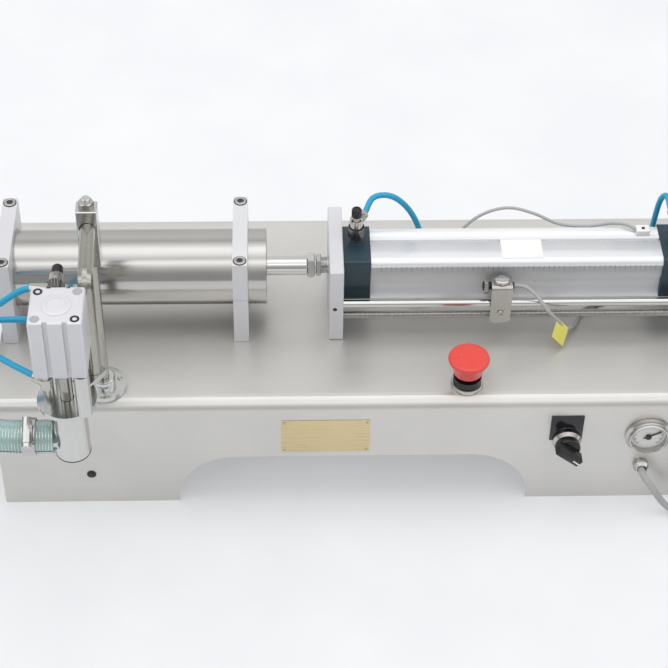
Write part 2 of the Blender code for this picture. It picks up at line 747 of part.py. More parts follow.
def make_drive_cylinder():
    half = CAP_SIZE / 2
    low_y = AXIS_Y - half
    low_z = AXIS_Z - half
    for name, left in (("drive_front_cap", FRONT_CAP_X), ("drive_rear_cap", REAR_CAP_X)):
        outline = cap_outline()
        middle = (left + CAP_LENGTH / 2, AXIS_Y, AXIS_Z)
        cap = prism(name, outline, middle, CAP_LENGTH, FACING_X)
        cuts = []
        if name == "drive_front_cap":
            cuts.append(bore("front_cap_bore", (left - 0.01, AXIS_Y, AXIS_Z), 0.05, DRIVE_ROD + 2 * RUN, "x"))
        made(cap, CAP_BLUE, cut=cuts)
    middle = (BARREL_X + BARREL_LENGTH / 2, AXIS_Y, AXIS_Z)
    holes = [circle(0.0, 0.0, BARREL_BORE, 32)]
    keep(prism("drive_barrel", barrel_outline(), middle, BARREL_LENGTH, FACING_X, holes), BARREL_ALLOY)


def cap_outline():
    """A cap's section: a block with rounded corners, a little deeper behind and shallower below the axis."""
    front = -CAP_SIZE / 2 + CAP_CORNER
    back = CAP_BACK - CAP_CORNER
    low = -CAP_BELOW + CAP_CORNER
    top = CAP_SIZE / 2 - CAP_CORNER
    points = []
    for quarter, (x, y) in enumerate(((back, top), (front, top), (front, low), (back, low))):
        points += arc(x, y, CAP_CORNER, 90.0 * quarter, 90.0 * quarter + 90.0, 3)
    return points


def barrel_outline():
    """The extrusion's section: slots in its top, a flat and a hollow above a rib on its front."""
    half = BARREL_SIZE / 2
    low = -BARREL_BELOW
    right_top = arc(half - 0.003, half - 0.003, 0.003, 0.0, 90.0, 3)
    slot_top = [(0.0075, half), (0.0075, half - 0.003), (0.0035, half - 0.003), (0.0035, half)]
    left_top = arc(-half + 0.006, half - 0.006, 0.006, 90.0, 180.0, 3)
    front = [
        (-half, half - 0.0075),
        (-half + 0.0012, half - 0.0080),
        (-half + 0.0012, half - 0.0215),
        (-half + 0.0040, half - 0.0270),
        (-half + 0.0040, half - 0.0420),
        (-half + 0.0004, low + 0.0030),
        (-half + 0.0004, low + 0.0012),
        (-half + 0.0014, low),
    ]
    left_low = []
    right_low = arc(half - 0.003, low + 0.003, 0.003, 270.0, 360.0, 3)
    return right_top + slot_top + left_top + front + left_low + right_low


def make_adjuster():
    """A screw that shifts the sensor along its guide rod, which sets the dose."""
    start = PLATE_X
    end = REAR_PLATE_X + PLATE_WIDTH
    guide_z = DECK + GUIDE_ROD_HEIGHT
    screw_z = DECK + LEAD_SCREW_HEIGHT
    keep(rod("guide_rod", (start, ROD_Y, guide_z), end - start, GUIDE_ROD, "x", 16), POLISHED)
    keep(rod("lead_screw", (start, ROD_Y, screw_z), end + GAP - start, LEAD_SCREW, "x", 16), STEEL)
    wheel = HANDWHEEL_DIAMETER / 2
    hub = LEAD_SCREW
    profile = [
        (0.0, HANDWHEEL_WIDTH + 0.004),
        (hub, HANDWHEEL_WIDTH + 0.004),
        (hub, HANDWHEEL_WIDTH),
        (wheel - 0.002, HANDWHEEL_WIDTH),
        (wheel, HANDWHEEL_WIDTH - 0.002),
        (wheel, 0.0065),
        (wheel - 0.002, 0.0045),
        (hub, 0.0045),
        (hub, 0.0),
        (0.0, 0.0),
    ]
    keep(turned("handwheel", profile, (end + 2 * GAP, ROD_Y, screw_z), "x", 24), BLACK)
    left = CARRIAGE_X - CARRIAGE_WIDTH / 2
    right = CARRIAGE_X + CARRIAGE_WIDTH / 2
    block_low = (left + 0.003, ROD_Y - 0.0062, screw_z - 0.0075)
    block = box("sensor_carriage", block_low, (right - 0.003, ROD_Y + 0.0068, guide_z + 0.0070), 0.0006, 1)
    bores = [
        bore("block_guide_bore", (left, ROD_Y, guide_z), CARRIAGE_WIDTH, GUIDE_ROD + 2 * RUN, "x", 16),
        bore("block_screw_bore", (left, ROD_Y, screw_z), CARRIAGE_WIDTH, LEAD_SCREW + 2 * RUN, "x", 16),
    ]
    plate_back = ROD_Y - 0.0062 + 0.0005
    plate_front = plate_back - BRACKET_SHEET
    shelf = guide_z + 0.0262
    low_z = screw_z - 0.0040
    outline = [
        (plate_front, low_z),
        (plate_back, low_z),
        (plate_back, shelf - BRACKET_SHEET),
        (AXIS_Y - BARREL_SIZE / 2 - 0.0015, shelf - BRACKET_SHEET),
        (AXIS_Y - BARREL_SIZE / 2 - 0.0015, shelf),
        (plate_front + 0.003, shelf),
        (plate_front + 0.0009, shelf - 0.0009),
        (plate_front, shelf - 0.003),
    ]
    bracket = prism("sensor_bracket", outline, (CARRIAGE_X, 0.0, 0.0), CARRIAGE_WIDTH, FACING_X)
    made(block, POLISHED, add=[bracket], cut=bores)
    sensor_y = ROD_Y + 0.0030
    radius = SENSOR_DIAMETER / 2
    collar = radius - 0.001
    profile = [
        (0.0, SENSOR_LENGTH),
        (collar, SENSOR_LENGTH),
        (collar, SENSOR_LENGTH - 0.006),
        (radius, SENSOR_LENGTH - 0.006),
        (radius, 0.004),
        (collar, 0.004),
        (collar, 0.0),
        (0.0, 0.0),
    ]
    place = (CARRIAGE_X - 0.0185, sensor_y, shelf - BRACKET_SHEET - GAP - radius)
    keep(turned("stroke_sensor", profile, place, "x", 16), BLACK)


def arm_line(direction):
    turn = math.radians(direction)
    return Vector((math.cos(turn), math.sin(turn), 0.0))


def socket_line(seat, facing, direction, height, length):
    """Where a tube starts in a fitting's arm, and a point straight out of the arm."""
    centre = Vector((0.0, 0.0, height))
    facing_turn = Euler(AXES[facing]).to_matrix()
    reaches = (length - SOCKET_DEPTH + GAP, length + 0.0035)
    return [Vector(seat) + facing_turn @ (centre + arm_line(direction) * reach) for reach in reaches]


def make_arm(name, direction, height, length):
    """An elbow's arm along a direction in the fitting's own XY plane, and the socket to cut in its end."""
    along = arm_line(direction)
    centre = Vector((0, 0, height))
    arm = rod(name + "_arm", centre, length, FITTING_ARM, "z", 12)
    socket = rod(name + "_socket", centre + along * (length - SOCKET_DEPTH), 0.020, AIR_TUBE + 4 * GAP, "z", 12)
    for piece in (arm, socket):
        piece.rotation_euler = (0.0, math.pi / 2, math.radians(direction))
    return arm, socket


def make_flow_fitting(name, seat, facing, direction, height, length):
    """An air fitting with a threaded neck, an elbow whose arm takes the tube, and a knob that sets the flow.

    The neck starts at seat and runs along the facing axis. The arm leaves at a height and turns about that axis.
    """
    base = bpy.data.objects.new(name + "_seat", None)
    base.location = seat
    base.rotation_euler = AXES[facing]
    MACHINE.objects.link(base)
    base.parent = ORIGIN
    neck = rod(name, (0, 0, GAP), FITTING_NECK_LENGTH, FITTING_NECK, "z", 12)
    hull = rod(name + "_hull", (0, 0, FITTING_HULL_Z), FITTING_HULL_LENGTH, FITTING_HULL, "z", 20)
    body = rod(name + "_body", (0, 0, FITTING_BODY_Z), FITTING_BODY_LENGTH, FITTING_BODY, "z", 16)
    stem = rod(name + "_stem", (0, 0, FITTING_TOP - 0.004), 0.004, 0.0070, "z", 12)
    arm, socket = make_arm(name, direction, height, length)
    made(neck, NICKEL, add=[hull, body, stem, arm], cut=[socket], parent=base)
    radius = KNOB_DIAMETER / 2
    profile = [
        (0.0, KNOB_HEIGHT),
        (radius * 0.6, KNOB_HEIGHT),
        (radius, KNOB_HEIGHT - 0.002),
        (radius, 0.0),
        (0.0, 0.0),
    ]
    knob = turned(name.replace("fitting", "knob"), profile, (0, 0, FITTING_TOP + GAP), "z", 16)
    keep(knob, BLACK, base)


def make_stand():
    """A flange on the deck, a post, and a block that holds the bent arm."""
    hub = HUB_DIAMETER / 2
    disc = FLANGE_DIAMETER / 2
    hole = POST_DIAMETER / 2 + GAP
    top = FLANGE_THICKNESS + HUB_HEIGHT
    profile = [
        (hole, top),
        (hub - 0.001, top),
        (hub, top - 0.001),
        (hub, FLANGE_THICKNESS),
        (disc, FLANGE_THICKNESS),
        (disc, 0.0),
        (hole, 0.0),
    ]
    keep(turned("stand_flange", profile, (POST_X, POST_Y, DECK + GAP), "z", 24), POLISHED)
    post_top = DECK + ARM_BLOCK_LOW + 0.030
    length = post_top - DECK - 2 * GAP
    keep(rod("stand_post", (POST_X, POST_Y, DECK + 2 * GAP), length, POST_DIAMETER, "z", 20), POLISHED)
    half = ARM_BLOCK_WIDTH / 2
    deep = ARM_BLOCK_DEPTH / 2
    low = (POST_X - half, POST_Y - deep, DECK + ARM_BLOCK_LOW)
    block = box("arm_block", low, (POST_X + half, POST_Y + deep, DECK + ARM_BLOCK_HIGH), 0.0008, 1)
    arm_z = DECK + ARM_HEIGHT
    cuts = [
        bore("post_socket", (POST_X, POST_Y, DECK + ARM_BLOCK_LOW - 0.01), 0.040 + GAP, POST_DIAMETER + 2 * GAP, "z"),
        bore("arm_socket", (POST_X, POST_Y - deep - 0.01, arm_z), 0.020, ARM_DIAMETER + 2 * GAP, "y"),
    ]
    made(block, STEEL, cut=cuts)
    start = POST_Y - deep + 0.010 - 2 * GAP
    foot = DISC_TOP + GAP + 0.0015
    route = [(POST_X, start, arm_z)]
    centre_y = ARM_DROP_Y + ARM_BEND
    for step in range(7):
        turn = math.radians(15.0 * step)
        y = centre_y - ARM_BEND * math.sin(turn)
        z = arm_z - ARM_BEND * (1.0 - math.cos(turn))
        route.append((ARM_DROP_X, y, z))
    route.append((ARM_DROP_X, ARM_DROP_Y, foot))
    keep(round_curve("nozzle_arm", route, ARM_DIAMETER, 3), POLISHED)


def make_nozzle():
    """The nozzle hangs under a disc, and its air cylinder stands on the disc on two spacers."""
    x = NOZZLE_X
    y = NOZZLE_Y
    under = DISC_TOP - DISC_THICKNESS
    outer = NOZZLE_TUBE / 2
    inner = outer - NOZZLE_WALL
    stem_hole = STEM_DIAMETER / 2 + RUN
    seat = NOZZLE_SEAT / 2
    bottom = -DISC_THICKNESS - NOZZLE_TUBE_LENGTH
    disc = DISC_DIAMETER / 2
    profile = [
        (stem_hole, 0.0),
        (disc, 0.0),
        (disc, -DISC_THICKNESS),
        (outer, -DISC_THICKNESS),
        (outer, bottom),
        (seat, bottom),
        (seat, bottom + 0.002),
        (inner, bottom + 0.0085),
        (inner, -DISC_THICKNESS),
        (stem_hole, -DISC_THICKNESS),
    ]
    body = turned("nozzle_body", profile, (x, y, DISC_TOP), "z", 28)
    offset = BOLT_PITCH / 2
    spacers = []
    for label, side_x, side_y in (("front", 1, -1), ("back", -1, 1)):
        place = (x + side_x * offset, y + side_y * offset, DISC_TOP - 0.002)
        spacers.append(rod(f"spacer_{label}", place, STANDOFF_LENGTH + 0.002, STANDOFF_DIAMETER, "z", 16))
    reach = Vector((ARM_DROP_X - x, ARM_DROP_Y - y, 0.0))
    lug = box("arm_lug", (0.018, -0.0085, -DISC_THICKNESS), (reach.length + 0.0085, 0.0085, 0.0015))
    turn = math.atan2(reach.y, reach.x)
    centre = Matrix.Rotation(turn, 3, "Z") @ lug.location
    lug.location = Vector((x, y, DISC_TOP)) + centre
    lug.rotation_euler = (0.0, 0.0, turn)
    port_z = DECK + SIDE_PORT_HEIGHT
    pipe = rod("side_pipe", (x - 0.052, y, port_z), 0.040, BARB_OUTER, "x", 20)
    pipe_bore = bore("side_bore", (x - 0.060, y, port_z), 0.060, BARB_BORE, "x", 16)
    made(body, POLISHED, add=[*spacers, lug, pipe], cut=[pipe_bore])
    half = AIR_BLOCK / 2
    low = (x - half, y - half, AIR_BLOCK_Z)
    block = box("nozzle_cylinder", low, (x + half, y + half, AIR_BLOCK_TOP), 0.002)
    groove = []
    for label, side in (("front", -1), ("back", 1)):
        for word, shift in (("left", -0.0085), ("right", 0.0085)):
            middle = Vector((x + shift, y + side * half, (AIR_BLOCK_Z + AIR_BLOCK_TOP) / 2))
            size = Vector((0.0042, 0.0050, AIR_BLOCK_HEIGHT + 0.01)) / 2
            groove.append(box(f"block_slot_{label}_{word}", middle - size, middle + size))
    cuts = [
        bore("block_bore", (x, y, AIR_BLOCK_Z + 0.012), AIR_BLOCK_HEIGHT - 0.022, 0.032, "z", 24),
        bore("block_rod_hole", (x, y, AIR_BLOCK_Z - 0.01), 0.030, STEM_DIAMETER + 2 * RUN, "z", 20),
    ]
    made(block, WHITE_ALLOY, cut=[*cuts, *groove])
    stem_bottom = DISC_TOP - DISC_THICKNESS - NOZZLE_TUBE_LENGTH
    top = AIR_BLOCK_Z + 0.012 + 0.0125
    plug = PLUG_DIAMETER / 2
    rod_radius = STEM_DIAMETER / 2
    profile = [
        (0.0, top),
        (0.016 - RUN, top),
        (0.016 - RUN, top - 0.012),
        (rod_radius, top - 0.012),
        (rod_radius, stem_bottom + 0.017),
        (plug, stem_bottom + 0.0115),
        (plug, stem_bottom + 0.0092),
        (NOZZLE_SEAT / 2 - 0.0010, stem_bottom + 0.0020),
        (0.0, stem_bottom + 0.0020),
    ]
    profile = [(r, h - DISC_TOP) for r, h in profile]
    keep(turned("nozzle_stem", profile, (x, y, DISC_TOP), "z", 24), POLISHED)


def make_lower_fitting():
    """The elbow screwed up into the lower port, under the nozzle's air cylinder."""
    x, y, z = LOWER_PORT
    neck = rod("nozzle_lower_fitting", LOWER_PORT, AIR_BLOCK_Z - GAP - z, 0.0090, "z", 12)
    hull = rod("lower_hull", (x, y, z - FITTING_ARM / 2), 0.0110, 0.0115, "z", 16)
    arm, socket = make_arm("lower", LOWER_ARM_TURN, 0.0, LOWER_ARM_LENGTH)
    for piece in (arm, socket):
        piece.location += Vector(LOWER_PORT)
    made(neck, NICKEL, add=[hull, arm], cut=[socket])


def make_hose_clamp(centre):
    """A worm drive band round the hose, with its screw housing in front."""
    band = 0.0120
    inner = HOSE_OUTER / 2 + RUN + GAP
    outer = inner + 0.0012
    x, y, z = centre
    sleeve = ring("hose_clamp", (x - band / 2, y, z), band, 2 * outer, 2 * inner, "x", 28)
    turn = math.radians(CLAMP_SCREW_TURN)
    away = Vector((0.0, -math.cos(turn), math.sin(turn)))
    along = Vector((0.0, math.sin(turn), math.cos(turn)))
    start = Vector(centre) + away * (outer + 0.0036) - along * 0.012
    housing = rod("clamp_housing", start, 0.024, 0.0095, "z", 10)
    housing.rotation_euler = (-turn, 0.0, 0.0)
    made(sleeve, NICKEL, add=[housing])


def make_hose():
    """The clear hose, hollow to the end so that it slips over both tails."""
    points = smooth_points(HOSE_ROUTE, 0.022)
    first = points[0] + (points[0] - points[1]) * 0.4
    last = points[-1] + (points[-1] - points[-2]) * 0.4
    core = curve_solid("hose_core", [first, *points, last], HOSE_BORE, 3)
    hose = curve_solid("product_hose", points, HOSE_OUTER, 4)
    notch = bore("hose_notch", (NOZZLE_X, NOZZLE_Y, DECK), 0.090, NOZZLE_TUBE + 2 * GAP, "z", 28)
    made(hose, HOSE_CLEAR, cut=[core, notch])


def make_estop():
    """A mushroom button on the deck: its ring and shaft stay, its stem is pressed, its head also twists."""
    ring_radius = ESTOP_RING / 2
    shaft = PANEL_BORE / 2
    low = -0.026
    profile = [
        (0.0, ESTOP_RING_TOP),
        (ring_radius - 0.0012, ESTOP_RING_TOP),
        (ring_radius - 0.0012, 0.0045),
        (ring_radius, 0.0045),
        (ring_radius, 0.0),
        (shaft, 0.0),
        (shaft, low),
        (0.0, low),
    ]
    place = (ESTOP_X, ESTOP_Y, DECK + GAP)
    base = turned("estop_base", profile, place, "z", 24)
    cut = bore("estop_bore", (ESTOP_X, ESTOP_Y, DECK - 0.006), 0.030, 0.014 + 2 * RUN, "z", 20)
    block = box(
        "estop_contacts",
        (ESTOP_X - 0.014, ESTOP_Y - 0.014, DECK - 0.052),
        (ESTOP_X + 0.014, ESTOP_Y + 0.014, DECK - 0.022),
    )
    made(base, BLACK, add=[block], cut=[cut])
    stem_top = DECK + GAP + ESTOP_RING_TOP + ESTOP_TRAVEL + 0.001
    stem = rod("estop_stem", (ESTOP_X, ESTOP_Y, DECK - 0.001), stem_top - DECK + 0.001, 0.014, "z", 20)
    keep(stem, BLACK)
    radius = ESTOP_HEAD / 2
    height = 0.0200
    profile = [
        (0.0, height),
        (radius * 0.55, height - 0.0003),
        (radius * 0.90, height - 0.0012),
        (radius, height - 0.0030),
        (radius * 0.97, height - 0.0052),
        (radius * 0.83, height - 0.0110),
        (radius * 0.74, height - 0.0160),
        (radius * 0.71, 0.0),
        (0.0, 0.0),
    ]
    keep(turned("estop_head", profile, (ESTOP_X, ESTOP_Y, stem_top + GAP), "z", 32), RED)


def make_selector():
    """A two-position switch: a ring and body that grip the panel, and a knob with a pointer bar."""
    ring_radius = SELECTOR_RING / 2
    shaft = PANEL_BORE / 2
    face = -GAP
    front = face - LEGEND_SHEET - GAP
    profile = [
        (0.0, 0.045),
        (shaft, 0.045),
        (shaft, 0.0),
        (ring_radius, 0.0),
        (ring_radius, -0.0025),
        (ring_radius - 0.003, -0.0055),
        (0.0, -0.0055),
    ]
    keep(turned("selector_body", profile, (SELECTOR_X, front, SELECTOR_Z), "y", 24), NICKEL)
    seat = front - 0.0055 - GAP
    profile = [(0.0, 0.0), (0.0118, 0.0), (0.0125, -0.006), (0.0118, -0.0075), (0.0, -0.0075)]
    knob = turned("selector_knob", profile, (SELECTOR_X, seat, SELECTOR_Z), "y", 24)
    bar = box("knob_bar", (-0.0148, -0.0190, -0.0048), (0.0148, -0.0060, 0.0048), 0.0015)
    bar.location = Vector((SELECTOR_X, seat, SELECTOR_Z)) + bar.location
    bar.rotation_euler = (0.0, math.radians(40.0), 0.0)
    made(knob, BLACK, add=[bar])


def make_gauge():
    """The pressure gauge: a flanged case through the panel, with its pointer inside."""
    flange = GAUGE_FLANGE / 2
    rim = GAUGE_RIM / 2
    cup = rim - 0.0018
    barrel = rim - 0.0015
    profile = [
        (0.0, 0.030),
        (0.0055, 0.030),
        (0.0055, 0.020),
        (barrel, 0.020),
        (barrel, 0.0),
        (flange, 0.0),
        (flange, -0.0025),
        (flange - 0.0015, -0.0040),
        (rim, -0.0050),
        (rim, -GAUGE_DEPTH),
        (cup, -GAUGE_DEPTH),
        (cup, -0.0020),
        (0.0, -0.0020),
    ]
    keep(turned("gauge_case", profile, (GAUGE_X, -GAP, GAUGE_Z), "y", 28), NICKEL)
    hub = rod("gauge_needle", (0, 0, 0), 0.0016, 0.0050, "y", 12)
    hub.location = (GAUGE_X, -0.0020 - 2 * GAP - 0.0016, GAUGE_Z)
    pointer = box("needle_blade", (-0.0050, 0.0002, -0.0006), (0.0135, 0.0010, 0.0006))
    centre = Matrix.Rotation(math.radians(-28.0), 3, "Y") @ pointer.location
    pointer.location = hub.location + centre
    pointer.rotation_euler = (0.0, math.radians(-28.0), 0.0)
    made(hub, BLACK, add=[pointer])


def make_inside():
    """The valve that steers air to both cylinders, hung under the deck."""
    top = DECK - SHEET - GAP
    valve = box("solenoid_valve", (0.445, 0.150, top - 0.046), (0.565, 0.190, top), 0.001, 1)
    made(valve, BARREL_ALLOY)


def make_gland():
    """The gland that grips the mains lead."""
    cord_hole = CORD_DIAMETER / 2 + 2 * RUN
    profile = [
        (cord_hole, 0.014),
        (0.0060, 0.014),
        (0.0060, 0.0),
        (0.0078, 0.0),
        (0.0078, -0.0045),
        (0.0070, -0.0058),
        (0.0058, -0.0080),
        (cord_hole, -0.0080),
    ]
    keep(turned("cord_gland", profile, (GLAND_X, -GAP, GLAND_Z), "y", 20), NICKEL)


def coil_entry():
    """The straight stretch that joins the coil's outer turn."""
    turn = math.radians(COIL_ENTRY)
    radius = COIL_MEAN / 2 + (COIL_TURNS_WIDE - 1) * CORD_DIAMETER / 2
    touch = Vector((COIL_X + radius * math.cos(turn), COIL_Y + radius * math.sin(turn), CORD_ROUTE[-1][2]))
    along = Vector((-math.sin(turn), math.cos(turn), 0.0))
    return [touch - along * COIL_LEAD_IN, touch]


def make_cord():
    """The mains lead: down to the bench, a coil beside the machine, and its plug."""
    tube("mains_cord", CORD_ROUTE, CORD_DIAMETER, GREY_CORD, spacing=1.6, resolution=2)
    wide = COIL_TURNS_WIDE * CORD_DIAMETER
    high = COIL_TURNS_HIGH * CORD_DIAMETER
    outer = COIL_MEAN / 2 + wide / 2
    inner = COIL_MEAN / 2 - wide / 2
    soft = 0.0025
    profile = [
        (outer - soft, high),
        (outer, high - soft),
        (outer, soft),
        (outer - soft, 0.0),
        (inner + soft, 0.0),
        (inner, soft),
        (inner, high - soft),
        (inner + soft, high),
    ]
    coil = turned("cord_coil", profile, (COIL_X, COIL_Y, 0.0005), "z", 24)
    entry = curve_solid("coil_entry", coil_entry(), CORD_DIAMETER, 2)
    tail = curve_solid("coil_tail", smooth_points(PLUG_ROUTE, 1.6 * CORD_DIAMETER), CORD_DIAMETER, 2)
    made(coil, GREY_CORD, add=[entry, tail])
    end = Vector(PLUG_ROUTE[-1])
    back = Vector(PLUG_ROUTE[-2])
    turn = math.atan2(end.y - back.y, end.x - back.x)
    plug = box("mains_plug", (GAP, -0.0120, -0.0070), (0.0360, 0.0120, 0.0130), 0.003)
    pins = []
    for word, shift in (("left", -0.0065), ("right", 0.0065)):
        pin = box(f"plug_pin_{word}", (0.0340, shift - 0.0008, 0.0000), (0.0540, shift + 0.0008, 0.0060))
        pins.append(pin)
    for piece in (plug, *pins):
        piece.location = end + Matrix.Rotation(turn, 3, "Z") @ piece.location
        piece.rotation_euler = (0.0, 0.0, turn)
    made(plug, BLACK, add=pins)


def rest_on_origin():
    """Moves the machine so that the origin is under the middle of everything but the cord."""
    bpy.context.view_layer.update()
    graph = bpy.context.evaluated_depsgraph_get()
    loose = {"mains_cord", "cord_coil", "mains_plug"}
    low = Vector((9.0, 9.0, 9.0))
    high = -low
    for obj in MACHINE.objects:
        if obj.type == "EMPTY" or obj.name in loose:
            continue
        solid = obj.evaluated_get(graph)
        mesh = solid.to_mesh()
        for vertex in mesh.vertices:
            point = solid.matrix_world @ vertex.co
            low = Vector(map(min, low, point))
            high = Vector(map(max, high, point))
        solid.to_mesh_clear()
    ORIGIN.location = (-(low.x + high.x) / 2, -(low.y + high.y) / 2, -low.z)
    bpy.context.view_layer.update()


make_base()
make_clamp(1, CLAMP_1_X)
make_clamp(2, CLAMP_2_X)
make_material_cylinder()
make_ram()
make_valve_block()
make_plates()
make_drive_cylinder()
make_adjuster()
make_flow_fitting("front_fitting", *FRONT_PORT)
make_flow_fitting("rear_fitting", *REAR_PORT)
make_flow_fitting("nozzle_fitting", *NOZZLE_PORT)
make_stand()
make_nozzle()
make_lower_fitting()
make_hose()
make_hose_clamp((0.0490, HOSE_ROUTE[0][1], 0.18665))
LOWER_LINE = socket_line(LOWER_PORT, "z", LOWER_ARM_TURN, 0.0, LOWER_ARM_LENGTH)
tube("front_air_tube", [*socket_line(*FRONT_PORT), *FRONT_AIR_ROUTE], AIR_TUBE, AIR_BLUE)
tube("rear_air_tube", [*socket_line(*REAR_PORT), *REAR_AIR_ROUTE], AIR_TUBE, AIR_BLUE)
tube("upper_air_tube", [*socket_line(*NOZZLE_PORT), *UPPER_AIR_ROUTE], AIR_TUBE, AIR_BLUE)
tube("lower_air_tube", [*LOWER_LINE, *LOWER_AIR_ROUTE], AIR_TUBE, AIR_BLUE)
tube("sensor_cable", SENSOR_CABLE_ROUTE, SENSOR_CABLE, GREY_CORD)
make_estop()
make_selector()
make_gauge()
make_inside()
make_gland()
make_cord()
rest_on_origin()
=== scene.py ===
"""The looks of the piston filler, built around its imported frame.

Lengths are metres. Places are written from the base's front left bottom corner, and at() puts them
in the row frame.
"""

import json
import math

import bmesh
import bpy
from mathutils import Euler, Matrix, Vector
from mathutils.geometry import interpolate_bezier
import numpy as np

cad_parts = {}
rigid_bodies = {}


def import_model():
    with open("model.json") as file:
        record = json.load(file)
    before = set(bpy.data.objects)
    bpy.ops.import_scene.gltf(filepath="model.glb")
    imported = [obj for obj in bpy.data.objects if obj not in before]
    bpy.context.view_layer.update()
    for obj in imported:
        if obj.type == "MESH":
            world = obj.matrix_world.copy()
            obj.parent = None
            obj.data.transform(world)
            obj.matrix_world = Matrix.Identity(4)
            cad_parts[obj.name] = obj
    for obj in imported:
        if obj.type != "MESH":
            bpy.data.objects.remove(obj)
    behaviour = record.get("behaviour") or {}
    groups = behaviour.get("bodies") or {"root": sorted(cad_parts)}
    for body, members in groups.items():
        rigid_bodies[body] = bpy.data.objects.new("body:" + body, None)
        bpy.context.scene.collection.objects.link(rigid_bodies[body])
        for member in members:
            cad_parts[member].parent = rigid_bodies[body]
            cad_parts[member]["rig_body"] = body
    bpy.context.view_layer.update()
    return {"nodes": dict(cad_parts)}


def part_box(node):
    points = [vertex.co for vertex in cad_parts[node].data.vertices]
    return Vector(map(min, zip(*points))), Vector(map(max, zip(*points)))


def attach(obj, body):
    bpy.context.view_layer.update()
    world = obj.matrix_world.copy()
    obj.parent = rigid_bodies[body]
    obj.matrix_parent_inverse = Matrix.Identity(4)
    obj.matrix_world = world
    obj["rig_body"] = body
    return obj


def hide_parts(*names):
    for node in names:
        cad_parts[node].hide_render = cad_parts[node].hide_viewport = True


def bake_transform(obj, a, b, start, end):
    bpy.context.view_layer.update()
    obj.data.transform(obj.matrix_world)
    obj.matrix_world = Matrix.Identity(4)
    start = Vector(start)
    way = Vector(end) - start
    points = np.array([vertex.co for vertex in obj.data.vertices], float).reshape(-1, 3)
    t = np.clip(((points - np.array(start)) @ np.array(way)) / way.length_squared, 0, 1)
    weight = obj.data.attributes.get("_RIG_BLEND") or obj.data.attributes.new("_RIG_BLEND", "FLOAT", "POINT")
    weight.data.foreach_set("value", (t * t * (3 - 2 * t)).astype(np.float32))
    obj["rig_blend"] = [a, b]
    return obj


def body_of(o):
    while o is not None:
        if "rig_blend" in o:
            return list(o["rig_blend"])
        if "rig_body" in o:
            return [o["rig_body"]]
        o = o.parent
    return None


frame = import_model()
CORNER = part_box("base_cover")[0]
scene = bpy.context.scene

UP = (0, 0, 1)
RIGHT = (1, 0, 0)
FRONT = (0, -1, 0)
BACK = (0, 1, 0)


def at(x, y, z):
    """A place measured from the base's corner, in the row frame."""
    return CORNER + Vector((x, y, z))


# Camera, world and lights
CAMERA_PLACE = (0.28025, -1.26919, 1.47745)
CAMERA_PAN, CAMERA_TILT, CAMERA_ROLL = -2.149, 45.603, 1.019
LENS = 103.08
WORLD_STRENGTH = 2.4
BACKDROP = (0.79, 0.80, 0.82, 1.0)
KEY_POWER = 17
FLOOR_HALF = 2.6
FLOOR_GLOW = 0.45


def make_camera():
    lens = bpy.data.cameras.new("camera")
    lens.lens = LENS
    lens.sensor_width = 36.0
    camera = bpy.data.objects.new("camera", lens)
    pan = Euler((0, 0, math.radians(CAMERA_PAN))).to_matrix()
    tilt = Euler((math.radians(CAMERA_TILT), 0, 0)).to_matrix()
    roll = Euler((0, 0, math.radians(CAMERA_ROLL))).to_matrix()
    turn = pan @ tilt @ roll
    camera.matrix_world = Matrix.Translation(at(*CAMERA_PLACE)) @ turn.to_4x4()
    scene.collection.objects.link(camera)
    scene.camera = camera


def joined(tree, kind, links=(), **values):
    """A new node with its inputs linked, given as (input, output socket), and its settings."""
    node = tree.nodes.new(kind)
    for key, value in values.items():
        setattr(node, key, value)
    for place, source in links:
        if hasattr(source, "is_output"):
            tree.links.new(source, node.inputs[place])
        else:
            node.inputs[place].default_value = source
    return node


def combined(tree, operation, one, two):
    """The output of a maths node with two inputs."""
    return joined(tree, "ShaderNodeMath", [(0, one), (1, two)], operation=operation).outputs[0]


def noise(tree, place, scale, detail):
    """A noise node that follows a place."""
    return joined(tree, "ShaderNodeTexNoise", [(0, place), ("Scale", scale), ("Detail", detail)])


def raised(tree, height, strength, depth):
    """The output of a bump node."""
    links = [("Height", height), ("Strength", strength), ("Distance", depth)]
    return joined(tree, "ShaderNodeBump", links).outputs[0]


def ramp(tree, source, stops):
    """A colour ramp with (position, grey or colour) stops."""
    node = joined(tree, "ShaderNodeValToRGB", [("Fac", source)])
    while len(node.color_ramp.elements) < len(stops):
        node.color_ramp.elements.new(0.5)
    for element, (position, colour) in zip(node.color_ramp.elements, stops):
        element.position = position
        colour = (colour,) * 3 if isinstance(colour, float) else colour
        element.color = (*colour, 1.0)
    return node.outputs["Color"]


# Light level by direction: degrees from straight up, towards the front.
SKY = [
    (-100, 0.60),
    (-62, 0.70),
    (-48, 0.76),
    (-32, 0.61),
    (-20, 1.00),
    (-5, 1.55),
    (12, 1.35),
    (26, 0.82),
    (38, 1.55),
    (48, 1.00),
    (56, 0.66),
    (68, 0.42),
    (80, 0.36),
    (100, 0.36),
]


